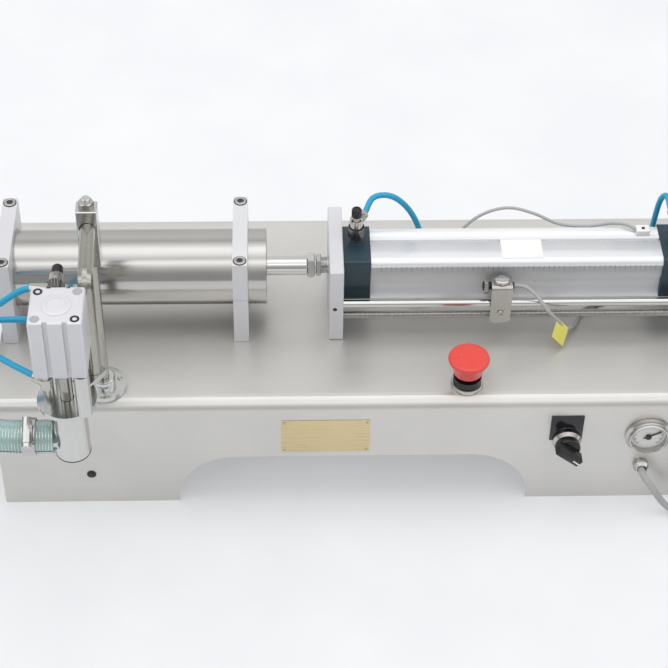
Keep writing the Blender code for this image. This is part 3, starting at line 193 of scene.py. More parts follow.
def make_world():
    """A pale studio. Its light changes from the back, over the top, to the front."""
    world = bpy.data.worlds.new("studio")
    scene.world = world
    world.use_nodes = True
    tree = world.node_tree
    tree.nodes.clear()
    coords = tree.nodes.new("ShaderNodeTexCoord")
    parts = joined(tree, "ShaderNodeSeparateXYZ", [(0, coords.outputs["Generated"])])
    forward = combined(tree, "MULTIPLY", parts.outputs["Y"], -1.0)
    angle = combined(tree, "ARCTAN2", forward, parts.outputs["Z"])
    first, last = SKY[0][0], SKY[-1][0]
    limits = [(1, math.radians(first)), (2, math.radians(last))]
    share = joined(tree, "ShaderNodeMapRange", [(0, angle), *limits])
    # The ramp's colours go up to 1, so the levels are halved there.
    stops = [((turn - first) / (last - first), 0.5 * level) for turn, level in SKY]
    sky = ramp(tree, share.outputs[0], stops)
    patches = noise(tree, coords.outputs["Generated"], 1.8, 1.0)
    shade = ramp(tree, patches.outputs["Fac"], [(0.35, (0.90, 0.905, 0.92)), (0.65, (1.0, 0.995, 0.98))])
    tints = [("Factor", 1.0), (6, sky), (7, shade)]
    light = joined(tree, "ShaderNodeMix", tints, data_type="RGBA", blend_type="MULTIPLY")
    lit = joined(tree, "ShaderNodeBackground", [("Color", light.outputs[2]), ("Strength", WORLD_STRENGTH)])
    seen = joined(tree, "ShaderNodeBackground", [("Color", BACKDROP), ("Strength", 1.0)])
    path = tree.nodes.new("ShaderNodeLightPath")
    choice = [(0, path.outputs["Is Camera Ray"]), (1, lit.outputs[0]), (2, seen.outputs[0])]
    mixed = joined(tree, "ShaderNodeMixShader", choice)
    joined(tree, "ShaderNodeOutputWorld", [("Surface", mixed.outputs[0])])


def make_lamp(name, place, aim, size, power):
    """A soft rectangular lamp that leaves no hot spot in the polished metal."""
    lamp = bpy.data.lights.new(name, "AREA")
    lamp.shape = "RECTANGLE"
    lamp.size, lamp.size_y = size
    lamp.energy = power
    obj = bpy.data.objects.new(name, lamp)
    obj.location = place
    obj.visible_glossy = False
    obj.rotation_euler = (Vector(aim) - Vector(place)).to_track_quat("-Z", "Y").to_euler()
    scene.collection.objects.link(obj)


def make_floor():
    """A wide pale sheet on the bench, very slightly uneven."""
    bm = bmesh.new()
    bmesh.ops.create_grid(bm, x_segments=2, y_segments=2, size=FLOOR_HALF)
    mesh = bpy.data.meshes.new("floor")
    bm.to_mesh(mesh)
    bm.free()
    floor = bpy.data.objects.new("floor", mesh)
    scene.collection.objects.link(floor)
    sheet, tree, shader = blank("floor_sheet")
    shader.inputs["Roughness"].default_value = 0.6
    shader.inputs["Specular IOR Level"].default_value = 0.25
    coords = tree.nodes.new("ShaderNodeTexCoord")
    folds = noise(tree, coords.outputs["Object"], 7.0, 3.0).outputs["Fac"]
    colour = ramp(tree, folds, [(0.35, (0.765, 0.775, 0.795)), (0.7, (0.80, 0.81, 0.825))])
    tree.links.new(colour, shader.inputs["Base Color"])
    tree.links.new(raised(tree, folds, 0.25, 0.01), shader.inputs["Normal"])
    path = tree.nodes.new("ShaderNodeLightPath")
    seen = combined(tree, "MAXIMUM", path.outputs["Is Camera Ray"], path.outputs["Is Glossy Ray"])
    seen = combined(tree, "MAXIMUM", seen, path.outputs["Is Transmission Ray"])
    share = combined(tree, "MULTIPLY", seen, FLOOR_GLOW)
    glow = joined(tree, "ShaderNodeEmission", [("Color", colour), ("Strength", 1.0)])
    mixed = joined(tree, "ShaderNodeMixShader", [(0, share), (1, shader.outputs[0]), (2, glow.outputs[0])])
    tree.links.new(mixed.outputs[0], tree.nodes["Material Output"].inputs["Surface"])
    mesh.materials.append(sheet)


# Materials
def blank(name):
    """A new material, its node tree and its shader."""
    made = bpy.data.materials.new(name)
    made.use_nodes = True
    return made, made.node_tree, made.node_tree.nodes["Principled BSDF"]


def surface(name, dark, light, rough, metallic, scale, bump=0.0, depth=0.0002, **extra):
    """A material with fine grain for its bump and roughness, and slow mottling between two colours."""
    made, tree, shader = blank(name)
    shader.inputs["Metallic"].default_value = metallic
    for socket, value in extra.items():
        shader.inputs[socket.replace("_", " ")].default_value = value
    coords = tree.nodes.new("ShaderNodeTexCoord")
    stretched = joined(tree, "ShaderNodeMapping", [(0, coords.outputs["Object"]), ("Scale", scale)])
    grain = noise(tree, stretched.outputs[0], 1.0, 2.0).outputs["Fac"]
    slow = noise(tree, coords.outputs["Object"], 9.0, 3.0).outputs["Fac"]
    blend = joined(tree, "ShaderNodeMix", [(0, 0.35), (2, slow), (3, grain)], data_type="FLOAT")
    colour = ramp(tree, blend.outputs[0], [(0.35, dark), (0.65, light)])
    tree.links.new(colour, shader.inputs["Base Color"])
    low, high = rough
    levels = [(1, 0.3), (2, 0.7), (3, low), (4, high)]
    spread = joined(tree, "ShaderNodeMapRange", [(0, blend.outputs[0]), *levels])
    tree.links.new(spread.outputs[0], shader.inputs["Roughness"])
    if bump:
        tree.links.new(raised(tree, grain, bump, depth), shader.inputs["Normal"])
    return made


ALONG_X = (6, 1500, 1500)
EVEN = (300, 300, 300)
FINE = (900, 900, 900)
# Each look: dark and light colour, roughness range, how metallic it is, grain, and bump with its depth.
FINISHES = {
    "deck_steel": ((0.61, 0.60, 0.575), (0.67, 0.658, 0.632), (0.30, 0.38), 0.70, ALONG_X, 0.25, 0.00004),
    "tube_steel": ((0.50, 0.49, 0.475), (0.56, 0.55, 0.53), (0.12, 0.17), 1.0, ALONG_X, 0.2, 0.00003),
    "plain_steel": ((0.46, 0.45, 0.43), (0.54, 0.53, 0.51), (0.20, 0.32), 1.0, EVEN, 0.1, 0.00003),
    "chrome": ((0.50, 0.495, 0.48), (0.56, 0.555, 0.54), (0.07, 0.12), 1.0, (90, 90, 90)),
    "rod_steel": ((0.64, 0.64, 0.62), (0.70, 0.70, 0.68), (0.08, 0.14), 1.0, EVEN),
    # A darkened, olive-tinted copy of the polished steel for the stand's post, arm and stem: painted shade
    # and reflection that dims their highlights.
    "shaded_post_steel": ((0.36, 0.35, 0.31), (0.42, 0.41, 0.37), (0.10, 0.16), 1.0, EVEN),
    "satin": ((0.56, 0.565, 0.55), (0.63, 0.635, 0.62), (0.12, 0.19), 1.0, EVEN, 0.1, 0.00003),
    "nickel": ((0.50, 0.48, 0.45), (0.57, 0.55, 0.52), (0.12, 0.24), 1.0, (160, 160, 160)),
    "white_alloy": ((0.58, 0.58, 0.605), (0.66, 0.66, 0.685), (0.34, 0.46), 0.30, FINE, 0.12, 0.00004),
    "barrel_alloy": ((0.72, 0.73, 0.75), (0.78, 0.79, 0.81), (0.28, 0.34), 0.40, ALONG_X, 0.12, 0.00003),
    "cap_blue": ((0.010, 0.028, 0.040), (0.016, 0.042, 0.058), (0.30, 0.42), 0.0, EVEN, 0.1),
    "black": ((0.006, 0.006, 0.007), (0.012, 0.012, 0.013), (0.28, 0.42), 0.0, EVEN, 0.06),
    "black_gloss": ((0.008, 0.008, 0.010), (0.014, 0.014, 0.017), (0.10, 0.16), 0.0, EVEN),
    "red": ((0.60, 0.050, 0.038), (0.67, 0.062, 0.048), (0.26, 0.34), 0.0, EVEN, 0.04),
    "air_blue": ((0.004, 0.26, 0.45), (0.008, 0.32, 0.53), (0.16, 0.24), 0.0, EVEN),
    "hose": ((0.36, 0.56, 0.53), (0.47, 0.66, 0.63), (0.10, 0.16), 0.0, EVEN),
    "wire": ((0.62, 0.66, 0.65), (0.72, 0.76, 0.75), (0.14, 0.22), 1.0, EVEN),
    "grey_cord": ((0.33, 0.33, 0.33), (0.40, 0.40, 0.40), (0.45, 0.55), 0.0, EVEN, 0.1),
    "white": ((0.70, 0.70, 0.69), (0.76, 0.76, 0.75), (0.35, 0.45), 0.0, EVEN),
    "dial": ((0.68, 0.68, 0.66), (0.73, 0.73, 0.71), (0.45, 0.55), 0.0, EVEN),
    # The ink looks are print and small black parts, and also the painted shade inside holes, screw sockets
    # and counterbores.
    "ink_and_hole_shade": ((0.020, 0.020, 0.022), (0.030, 0.030, 0.032), (0.40, 0.50), 0.0, EVEN),
    "grey_ink_and_hole_shade": ((0.30, 0.30, 0.31), (0.36, 0.36, 0.37), (0.40, 0.50), 0.0, EVEN),
    "beige": ((0.62, 0.50, 0.28), (0.69, 0.57, 0.33), (0.24, 0.34), 0.25, ALONG_X),
    "plum": ((0.20, 0.03, 0.12), (0.26, 0.05, 0.16), (0.20, 0.30), 0.0, EVEN),
    "yellow": ((0.66, 0.63, 0.12), (0.72, 0.70, 0.18), (0.40, 0.50), 0.0, EVEN, 0.1),
}
SHADER_EXTRAS = {"hose": {"Transmission_Weight": 0.35, "IOR": 1.5}}
LOOKS = {
    name: surface(name, *finish, **SHADER_EXTRAS.get(name, {})) for name, finish in FINISHES.items()
}


# Shapes
def shown(name, bm, look, body="machine", replaces=(), bevel=0.0, angle=35.0):
    """A finished piece: its mesh in the row frame, its look, and the body that it rides on."""
    mesh = bpy.data.meshes.new(name)
    bmesh.ops.recalc_face_normals(bm, faces=bm.faces)
    bm.to_mesh(mesh)
    bm.free()
    mesh.materials.clear()
    mesh.materials.append(LOOKS[look])
    obj = bpy.data.objects.new(name, mesh)
    scene.collection.objects.link(obj)
    mesh.shade_smooth()
    mesh.set_sharp_from_angle(angle=math.radians(angle))
    if bevel:
        edge = obj.modifiers.new("edges", "BEVEL")
        edge.width = bevel
        edge.segments = 2
        edge.limit_method = "ANGLE"
        edge.angle_limit = math.radians(angle)
        edge.harden_normals = True
    if body:
        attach(obj, body)
    if replaces:
        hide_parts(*replaces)
    return obj


def frame_at(centre, axis):
    """A matrix that puts a shape made along +Z at a place, along an axis."""
    turn = Vector(axis).to_track_quat("Z", "Y").to_matrix().to_4x4()
    return Matrix.Translation(centre) @ turn


def spun(bm, centre, axis, profile, steps):
    """Adds a shape turned about an axis. A ring is (radius, height), and its form may be hex or grip.

    On a hex ring the radius is half of the width across flats, and a grip ring has fine teeth.
    """
    place = frame_at(centre, axis)
    rings = []
    for entry in profile:
        radius, height = entry[:2]
        form = entry[2] if len(entry) > 2 else "round"
        if radius == 0.0:
            rings.append([bm.verts.new(place @ Vector((0, 0, height)))])
            continue
        ring = []
        for i in range(steps):
            turn = math.tau * i / steps
            reach = radius
            if form == "hex":
                reach = radius / math.cos((turn % (math.pi / 3)) - math.pi / 6)
            elif form == "grip":
                reach = radius * (1.0 if i % 2 else 0.955)
            spot = Vector((reach * math.cos(turn), reach * math.sin(turn), height))
            ring.append(bm.verts.new(place @ spot))
        rings.append(ring)
    for one, two in zip(rings, rings[1:]):
        for i in range(steps):
            k = (i + 1) % steps
            if len(one) == 1:
                bm.faces.new((one[0], two[i], two[k]))
            elif len(two) == 1:
                bm.faces.new((one[i], two[0], one[k]))
            else:
                bm.faces.new((one[i], two[i], two[k], one[k]))
    return bm


def block(bm, low, high, soft):
    """Adds a box whose edges are eased, unless soft is 0."""
    low, high = Vector(low), Vector(high)
    made = bmesh.ops.create_cube(bm, size=1.0)
    for vertex in made["verts"]:
        vertex.co = low + Vector((c + 0.5) * side for c, side in zip(vertex.co, high - low))
    if soft:
        edges = list({edge for vertex in made["verts"] for edge in vertex.link_edges})
        bmesh.ops.bevel(bm, geom=edges, offset=soft, segments=2, profile=0.5, affect="EDGES")
    return bm


BOX_FACES = ((0, 1, 2, 3), (7, 6, 5, 4), (0, 4, 5, 1), (1, 5, 6, 2), (2, 6, 7, 3), (3, 7, 4, 0))


def slab(bm, corners):
    """Adds a box from its eight corners: the four of one side, then the four across from them."""
    verts = [bm.verts.new(corner) for corner in corners]
    for face in BOX_FACES:
        bm.faces.new([verts[i] for i in face])


def extent(node):
    """The lowest corner, the highest corner and the middle of a CAD node at rest."""
    low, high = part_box(node)
    return low, high, (low + high) / 2


def turned(name, centre, axis, profile, look, body="machine", replaces=(), steps=48, angle=35.0):
    """A piece turned about an axis."""
    shape = spun(bmesh.new(), centre, axis, profile, steps)
    return shown(name, shape, look, body, replaces, angle=angle)


def boxed(name, low, high, look, *, soft):
    """A box piece on the machine."""
    return shown(name, block(bmesh.new(), low, high, soft), look)


def cap_screw(bm, centre, axis, radius, height):
    """Adds a socket cap screw's head, with its hexagonal recess."""
    depth = height * 0.6
    flats = radius * 0.52
    ease = radius * 0.12
    profile = [
        (radius, 0.0),
        (radius, height - ease),
        (radius - ease, height),
        (flats + ease, height),
        (flats, height - ease / 2, "hex"),
        (flats, height - depth, "hex"),
        (0.0, height - depth - flats / 2),
    ]
    return spun(bm, centre, axis, profile, 24)


def hex_profile(flats, height, bore=0.0):
    """A hexagon nut or bolt head with both ends eased."""
    half = flats / 2
    ease = flats * 0.045
    inner = [(bore, 0.0)] if bore else [(0.0, 0.0)]
    outer = [(bore, height)] if bore else [(0.0, height)]
    middle = [
        (half, 0.0),
        (half * 1.04, ease, "hex"),
        (half * 1.04, height - ease, "hex"),
        (half, height),
    ]
    return [*inner, *middle, *outer, *inner] if bore else [*inner, *middle, *outer]


def smooth_points(route, spacing):
    """Points on a smooth curve that runs through the route, at most about one spacing apart."""
    points = [Vector(p) for p in route]
    chosen = [points[0]]
    for i in range(len(points) - 1):
        before = points[max(i - 1, 0)]
        after = points[min(i + 2, len(points) - 1)]
        first = points[i] + (points[i + 1] - before) / 6
        second = points[i + 1] - (after - points[i]) / 6
        steps = max(1, round((points[i + 1] - points[i]).length / spacing))
        chosen += interpolate_bezier(points[i], first, second, points[i + 1], steps + 1)[1:]
    return chosen


def line(name, points, diameter, look, body="machine", replaces=(), resolution=6):
    """A round line of one open spline through points in the row frame."""
    curve = bpy.data.curves.new(name, "CURVE")
    curve.dimensions = "3D"
    curve.bevel_depth = diameter / 2
    curve.bevel_resolution = resolution
    curve.use_fill_caps = True
    spline = curve.splines.new("POLY")
    spline.points.add(len(points) - 1)
    for point, place in zip(spline.points, points):
        point.co = (*place, 1.0)
    spline.use_smooth = True
    curve.materials.append(LOOKS[look])
    obj = bpy.data.objects.new(name, curve)
    scene.collection.objects.link(obj)
    if body:
        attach(obj, body)
    if replaces:
        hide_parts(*replaces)
    return obj


def skin(node, look, bevel=0.0):
    """A welded and smoothed copy of a CAD node, shown in its place."""
    source = frame["nodes"][node]
    bm = bmesh.new()
    bm.from_mesh(source.data)
    bmesh.ops.remove_doubles(bm, verts=bm.verts, dist=0.000002)
    bmesh.ops.dissolve_limit(bm, angle_limit=math.radians(0.5), verts=bm.verts, edges=bm.edges)
    layer = bm.loops.layers.float_vector.get("custom_normal")
    if layer:
        bm.loops.layers.float_vector.remove(layer)
    return shown(node + "_skin", bm, look, body_of(source)[0], (node,), bevel)


make_camera()
make_world()
make_lamp("key", (-0.4, 0.3, 2.4), (0, 0, 0.1), (1.8, 1.4), KEY_POWER)
make_floor()

DECK = 0.140
AXIS_Y = 0.137
AXIS_Z = 0.196
CAP_TOP = AXIS_Z + 0.02675
NOZZLE_X, NOZZLE_Y = 0.0872, -0.0820

# Mains lead, coiled beside the machine
CORD = 0.007
CORD_ROUTE = [
    (0.6370, -0.0050, 0.0490),
    (0.6370, -0.0130, 0.0488),
    (0.6400, -0.0185, 0.0460),
    (0.6500, -0.0220, 0.0320),
    (0.6610, -0.0228, 0.0150),
    (0.6740, -0.0275, 0.0045),
    (0.6902, -0.0513, 0.0040),
]
COIL_CENTRE = Vector((0.7420, -0.0560, 0.0))
OUTER, INNER = 0.0425, 0.0355
LAYERS = (0.0040, 0.0110, 0.0180)
# The coil's turn in degrees, and the radius and height that the cord has there.
COIL = [
    (-150, OUTER, LAYERS[0]),
    (-90, OUTER, LAYERS[0]),
    (-50, INNER, LAYERS[0]),
    (270, INNER, LAYERS[0]),
    (310, INNER, LAYERS[1]),
    (630, INNER, LAYERS[1]),
    (670, INNER, LAYERS[2]),
    (990, INNER, LAYERS[2]),
    (1030, OUTER, LAYERS[2]),
    (1350, OUTER, LAYERS[2]),
    (1390, OUTER, LAYERS[1]),
    (1710, OUTER, LAYERS[1]),
    (1750, OUTER, LAYERS[0]),
    (1800, OUTER, LAYERS[0]),
]
PLUG_ROUTE = [
    (0.7850, -0.0400, 0.0040),
    (0.7858, -0.0220, 0.0060),
    (0.7862, -0.0120, 0.0070),
    (0.7865, -0.0050, 0.0070),
]


def coil_points():
    """Points round the coil, changing radius and height between its turns."""
    points = []
    for (start, near_radius, near_height), (stop, far_radius, far_height) in zip(COIL, COIL[1:]):
        steps = max(1, round((stop - start) / 10))
        for i in range(steps):
            share = i / steps
            eased = share * share * (3 - 2 * share)
            turn = math.radians(start + (stop - start) * share)
            radius = near_radius + (far_radius - near_radius) * eased
            height = near_height + (far_height - near_height) * eased
            spot = Vector((radius * math.cos(turn), radius * math.sin(turn), height))
            points.append(COIL_CENTRE + spot)
    points.append(COIL_CENTRE + Vector((COIL[-1][1], 0.0, COIL[-1][2])))
    return points


LEAD_SPACING = 0.006
coil = coil_points()
lead_in = smooth_points([*CORD_ROUTE, coil[0]], LEAD_SPACING)[:-1]
tail = smooth_points([coil[-1], *PLUG_ROUTE], LEAD_SPACING)[1:]
cord_points = [at(*p) for p in (*lead_in, *coil, *tail)]
plug = skin("mains_plug", "black", bevel=0.0004)
cord = line("mains_lead", cord_points, CORD, "grey_cord", "machine", ("mains_cord", "cord_coil"))


# Air tubes, hose and sensor cable: their diameters, and the spacing of the points on their curves
AIR_TUBE = 0.006
HOSE_OUTER = 0.031
SENSOR_CABLE = 0.004
SWITCH_LEAD = 0.0032
SPACING = 0.004
# How far a tube goes into its fitting's arm, and how far out of the arm it stays straight
TUBE_INSIDE = 0.0062
TUBE_STRAIGHT = 0.0035


def arm_line(direction):
    """A level direction at an angle in degrees from +X."""
    turn = math.radians(direction)
    return Vector((math.cos(turn), math.sin(turn), 0.0))


def socket_line(seat, facing, direction, height, length):
    """Where a tube starts in a fitting's arm, and a point straight out of the arm."""
    facing_turn = Euler(FACINGS[facing]).to_matrix()
    reaches = (length - TUBE_INSIDE, length + TUBE_STRAIGHT)
    centre = Vector((0.0, 0.0, height))
    return [Vector(seat) + facing_turn @ (centre + arm_line(direction) * reach) for reach in reaches]


FACINGS = {"z": (0.0, 0.0, 0.0), "y": (-math.pi / 2, 0.0, 0.0)}
# Each port: its seat, the way its fitting faces, and the arm's direction in degrees, height and length.
FRONT_PORT = ((0.3533, 0.1435, CAP_TOP), "z", 60.0, 0.0229, 0.0150)
REAR_PORT = ((0.6698, 0.1435, CAP_TOP), "z", 105.0, 0.0229, 0.0150)
NOZZLE_PORT = ((0.0825, -0.0585, 0.3373), "y", 180.0, 0.0120, 0.0220)
LOWER_PORT = ((0.0725, -0.0960, 0.2720), "z", 145.0, 0.0, 0.0125)
AIR_ROUTES = {
    "front_air_tube": (FRONT_PORT, [
        (0.3700, 0.1715, 0.2530),
        (0.3825, 0.1755, 0.2535),
        (0.3950, 0.1770, 0.2470),
        (0.4080, 0.1790, 0.2300),
        (0.4180, 0.1805, 0.2060),
        (0.4235, 0.1835, 0.1750),
        (0.4250, 0.1850, 0.1460),
        (0.4250, 0.1850, 0.1330),
    ]),
    "rear_air_tube": (REAR_PORT, [
        (0.6630, 0.1740, 0.2510),
        (0.6585, 0.1790, 0.2430),
        (0.6565, 0.1830, 0.2150),
        (0.6560, 0.1860, 0.1800),
        (0.6560, 0.1870, 0.1460),
        (0.6560, 0.1870, 0.1330),
    ]),
    "upper_air_tube": (NOZZLE_PORT, [
        (0.0470, -0.0480, 0.3330),
        (0.0300, -0.0500, 0.3210),
        (0.0060, -0.0500, 0.3050),
        (-0.0200, -0.0420, 0.2800),
        (-0.0330, -0.0200, 0.2350),
        (-0.0300, 0.0100, 0.1750),
        (-0.0240, 0.0360, 0.1250),
        (-0.0150, 0.0495, 0.1020),
        (-0.0050, 0.0520, 0.0962),
        (0.0070, 0.0520, 0.0960),
    ]),
    "lower_air_tube": (LOWER_PORT, [
        (0.0420, -0.0745, 0.2715),
        (0.0240, -0.0610, 0.2710),
        (0.0080, -0.0520, 0.2715),
        (-0.0040, -0.0430, 0.2740),
        (-0.0010, -0.0370, 0.2820),
        (0.0120, -0.0345, 0.2870),
        (0.0300, -0.0350, 0.2895),
        (0.0520, -0.0360, 0.2900),
        (0.0680, -0.0290, 0.2810),
        (0.0720, -0.0080, 0.2540),
        (0.0690, 0.0200, 0.2140),
        (0.0660, 0.0450, 0.1730),
        (0.0650, 0.0560, 0.1480),
        (0.0650, 0.0580, 0.1330),
    ]),
}
for node, (port, route) in AIR_ROUTES.items():
    points = [at(*p) for p in smooth_points([*socket_line(*port), *route], SPACING)]
    piece = line(node + "_line", points, AIR_TUBE, "air_blue", "machine", (node,))

HOSE_ROUTE = [
    (0.0710, -0.0820, 0.18651),
    (0.0300, -0.0820, 0.1868),
    (0.0000, -0.0760, 0.1875),
    (-0.0330, -0.0560, 0.1890),
    (-0.0550, -0.0240, 0.1910),
    (-0.0620, 0.0120, 0.1935),
    (-0.0620, 0.0480, 0.1955),
    (-0.0620, 0.0840, 0.1960),
]
hose_points = smooth_points(HOSE_ROUTE, SPACING)
hose_line = [at(*p) for p in hose_points]
line("product_hose_line", hose_line, HOSE_OUTER, "hose", "machine", ("product_hose",), 10)


def sides_of(here, there):
    """The two directions across a stretch of line: level, and upwards."""
    along = (there - here).normalized()
    side = along.cross(Vector(UP)).normalized()
    return side, side.cross(along)


def helix(points, radius, pitch, steps):
    """Points of a spring wound round a line."""
    wound = []
    travelled = 0.0
    for here, there in zip(points, points[1:]):
        side, up = sides_of(here, there)
        span = (there - here).length
        count = max(1, round(span / pitch * steps))
        for i in range(count):
            turn = math.tau * (travelled + span * i / count) / pitch
            middle = here + (there - here) * (i / count)
            wound.append(at(*(middle + radius * (math.cos(turn) * side + math.sin(turn) * up))))
        travelled += span
    return wound


WIRE_RADIUS, WIRE_PITCH, WIRE_STEPS = 0.0153, 0.0027, 16
hose_wire = helix(hose_points, WIRE_RADIUS, WIRE_PITCH, WIRE_STEPS)
line("hose_wire", hose_wire, 0.0010, "wire", "machine", (), 2)

# The coloured trace that runs along the hose, low on its outer side
trace = []
for here, there in zip(hose_points, hose_points[1:]):
    side, up = sides_of(here, there)
    trace.append(at(*(here - side * 0.0149 - up * 0.0038)))
line("hose_trace", trace, 0.0011, "plum", "machine", (), 2)

SENSOR_CABLE_ROUTE = [
    (0.5083, 0.1020, 0.1984),
    (0.5180, 0.1010, 0.1983),
    (0.5290, 0.0945, 0.1930),
    (0.5400, 0.0850, 0.1820),
    (0.5510, 0.0830, 0.1690),
    (0.5600, 0.0860, 0.1560),
    (0.5690, 0.0960, 0.1470),
    (0.5760, 0.1080, 0.1430),
    (0.5820, 0.1210, 0.1440),
    (0.5930, 0.1290, 0.1432),
    (0.6010, 0.1350, 0.1420),
    (0.6040, 0.1375, 0.1330),
]


def as_mesh(obj):
    """A mesh copy of a curve piece, which takes its place."""
    bpy.context.view_layer.update()
    graph = bpy.context.evaluated_depsgraph_get()
    mesh = bpy.data.meshes.new_from_object(obj.evaluated_get(graph))
    name = obj.name
    bpy.data.objects.remove(obj)
    solid = bpy.data.objects.new(name, mesh)
    scene.collection.objects.link(solid)
    mesh.shade_smooth()
    return solid


# The cable and its tag follow the carriage at one end and the machine at the other, and stretch between them.
CABLE_START = at(*SENSOR_CABLE_ROUTE[0])
CABLE_END = at(*SENSOR_CABLE_ROUTE[-1])
cable_points = [at(*p) for p in smooth_points(SENSOR_CABLE_ROUTE, SPACING)]
cable = as_mesh(line("sensor_cable_line", cable_points, SENSOR_CABLE, "grey_cord", None))
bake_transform(cable, "carriage", "machine", start=CABLE_START, end=CABLE_END)
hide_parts("sensor_cable")


def tag_leaf(bm, down, height):
    """Adds one thin leaf of the cable tag, hanging from its fold."""
    outward = TAG_SIDE.cross(down).normalized()
    slab(bm, [
        TAG_FOLD + outward * step + TAG_SIDE * (a * TAG_WIDTH) + down * (b * height)
        for step in (0.0, 0.0003)
        for a, b in ((-0.5, 0.0), (0.5, 0.0), (0.5, 1.0), (-0.5, 1.0))
    ])


TAG_FOLD = at(0.5575, 0.0838, 0.1640)
TAG_SIDE = Vector((0.62, 0.10, -0.78)).normalized()
TAG_WIDTH = 0.020
tag = bmesh.new()
tag_leaf(tag, Vector((-0.30, -0.62, -0.72)).normalized(), 0.019)
tag_leaf(tag, Vector((0.05, 0.35, -0.94)).normalized(), 0.016)
tag_piece = shown("cable_tag", tag, "yellow", None)
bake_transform(tag_piece, "carriage", "machine", start=CABLE_START, end=CABLE_END)

# Lead of the position switch, which rises behind the barrel on its way to the deck
SWITCH_ROUTE = [
    (0.6325, 0.1530, 0.2255),
    (0.6230, 0.1600, 0.2262),
    (0.6100, 0.1680, 0.2210),
    (0.5850, 0.1720, 0.2140),
    (0.5580, 0.1750, 0.2150),
    (0.5330, 0.1780, 0.2260),
    (0.5070, 0.1790, 0.2330),
    (0.4820, 0.1770, 0.2270),
    (0.4620, 0.1740, 0.2100),
    (0.4520, 0.1730, 0.1850),
    (0.4500, 0.1730, 0.1600),
    (0.4500, 0.1730, 0.1395),
]
switch_points = [at(*p) for p in smooth_points(SWITCH_ROUTE, SPACING)]
switch_lead = line("switch_lead", switch_points, SWITCH_LEAD, "grey_cord", "machine")

# Emergency stop
STOP_X, STOP_Y = 0.4592, 0.0245
turned("stop_bezel", at(STOP_X, STOP_Y, DECK + 0.0003), UP, [
    (0.0139, 0.0046), (0.0152, 0.0046), (0.0157, 0.0038), (0.0158, 0.0), (0.0139, 0.0), (0.0139, 0.0046),
], "nickel", steps=64)
turned("stop_button", at(STOP_X, STOP_Y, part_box("estop_head")[0].z - CORNER.z), UP, [
    (0.0, 0.0), (0.0141, 0.0), (0.0147, 0.0040), (0.0166, 0.0095), (0.0190, 0.0140), (0.0199, 0.0158),
    (0.0200, 0.0172), (0.0196, 0.0184), (0.0184, 0.0192), (0.0160, 0.0196), (0.0110, 0.0199), (0.0, 0.0200),
], "red", "stop_head", ("estop_head",), 64, 50.0)

# Selector with its bare legend plate
legend_low = at(0.5418, -0.0014, 0.0860)
legend_high = at(0.5741, -0.0002, 0.1195)
boxed("selector_legend", legend_low, legend_high, "black_gloss", soft=0.0005)

low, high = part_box("selector_knob")
hub = at(0.5590, 0.0, 0.0870)
reach = Vector((high.x - hub.x, 0.0, low.z - hub.z))
side = reach.cross(Vector(BACK)).normalized() * 0.0007
pointer = bmesh.new()
slab(pointer, [
    Vector((hub.x, y, hub.z)) + reach * share + side * sign
    for y in (low.y - 0.0002, low.y + 0.0006)
    for share, sign in ((0.30, -1), (0.78, -1), (0.78, 1), (0.30, 1))
])
shown("selector_line", pointer, "white", "selector")

# Bare plate on the front panel, and a plug in a spare hole
boxed("front_plate", at(0.2780, -0.0008, 0.0720), at(0.3646, -0.0001, 0.1165), "beige", soft=0.0002)
RIVET = [(0.0014, 0.0), (0.0013, 0.0006), (0.0007, 0.0010), (0.0, 0.0011)]
rivets = bmesh.new()
for x in (0.2808, 0.3618):
    for z in (0.0748, 0.1137):
        spun(rivets, at(x, -0.0006, z), FRONT, RIVET, 16)
shown("plate_rivets", rivets, "nickel")
turned("blanking_plug", at(0.0888, 0.0, 0.0414), FRONT, [
    (0.0, 0.0), (0.0046, 0.0), (0.0046, 0.0009), (0.0036, 0.0017), (0.0012, 0.0019), (0.0, 0.0014),
], "black", steps=32)

# Pressure gauge
GAUGE_X, GAUGE_Z = 0.6393, 0.0920
DIVISIONS = 50
SWEEP = 270.0
turned("gauge_dial", at(GAUGE_X, -0.00232, GAUGE_Z), FRONT, [
    (0.0173, 0.0), (0.0173, 0.0002), (0.0, 0.0002),
], "dial", steps=64)
marks = bmesh.new()
for i in range(DIVISIONS + 1):
    turn = math.radians(SWEEP * i / DIVISIONS - SWEEP / 2)
    outward = Vector((math.sin(turn), 0.0, math.cos(turn)))
    sideways = Vector((math.cos(turn), 0.0, -math.sin(turn)))
    far = 0.0150
    near, wide = (0.0134, 0.00014) if i % 5 else (0.0118, 0.00030)
    slab(marks, [
        at(GAUGE_X, -depth, GAUGE_Z) + outward * reach + sideways * shift
        for depth in (0.00252, 0.00258)
        for reach, shift in ((near, -wide), (far, -wide), (far, wide), (near, wide))
    ])
shown("gauge_marks", marks, "ink_and_hole_shade")
turned("gauge_ring", at(GAUGE_X, -0.0053, GAUGE_Z), FRONT, [
    (0.0174, 0.0), (0.0174, 0.0030), (0.0180, 0.0034), (0.0194, 0.0032), (0.0198, 0.0024), (0.0198, 0.0),
    (0.0174, 0.0),
], "chrome", steps=64)
turned("gauge_hub", at(GAUGE_X, -0.0043, GAUGE_Z), FRONT, [
    (0.0030, 0.0), (0.0030, 0.0008), (0.0024, 0.0012), (0.0, 0.0013),
], "ink_and_hole_shade", "needle", steps=32)

# Grommets where tubes and cables go through the deck: place and radius of each hole
GROMMETS = [
    (0.4250, 0.1850, 0.0031),
    (0.6560, 0.1870, 0.0031),
    (0.0650, 0.0580, 0.0031),
    (0.6040, 0.1375, 0.0021),
    (0.4500, 0.1730, 0.0017),
]
grommets = bmesh.new()
for x, y, r in GROMMETS:
    spun(grommets, at(x, y, DECK), UP, [
        (r, 0.0), (r, 0.0010), (r + 0.0006, 0.0015), (r + 0.0018, 0.0012), (r + 0.0022, 0.0), (r, 0.0),
    ], 32)
shown("grommets", grommets, "black")

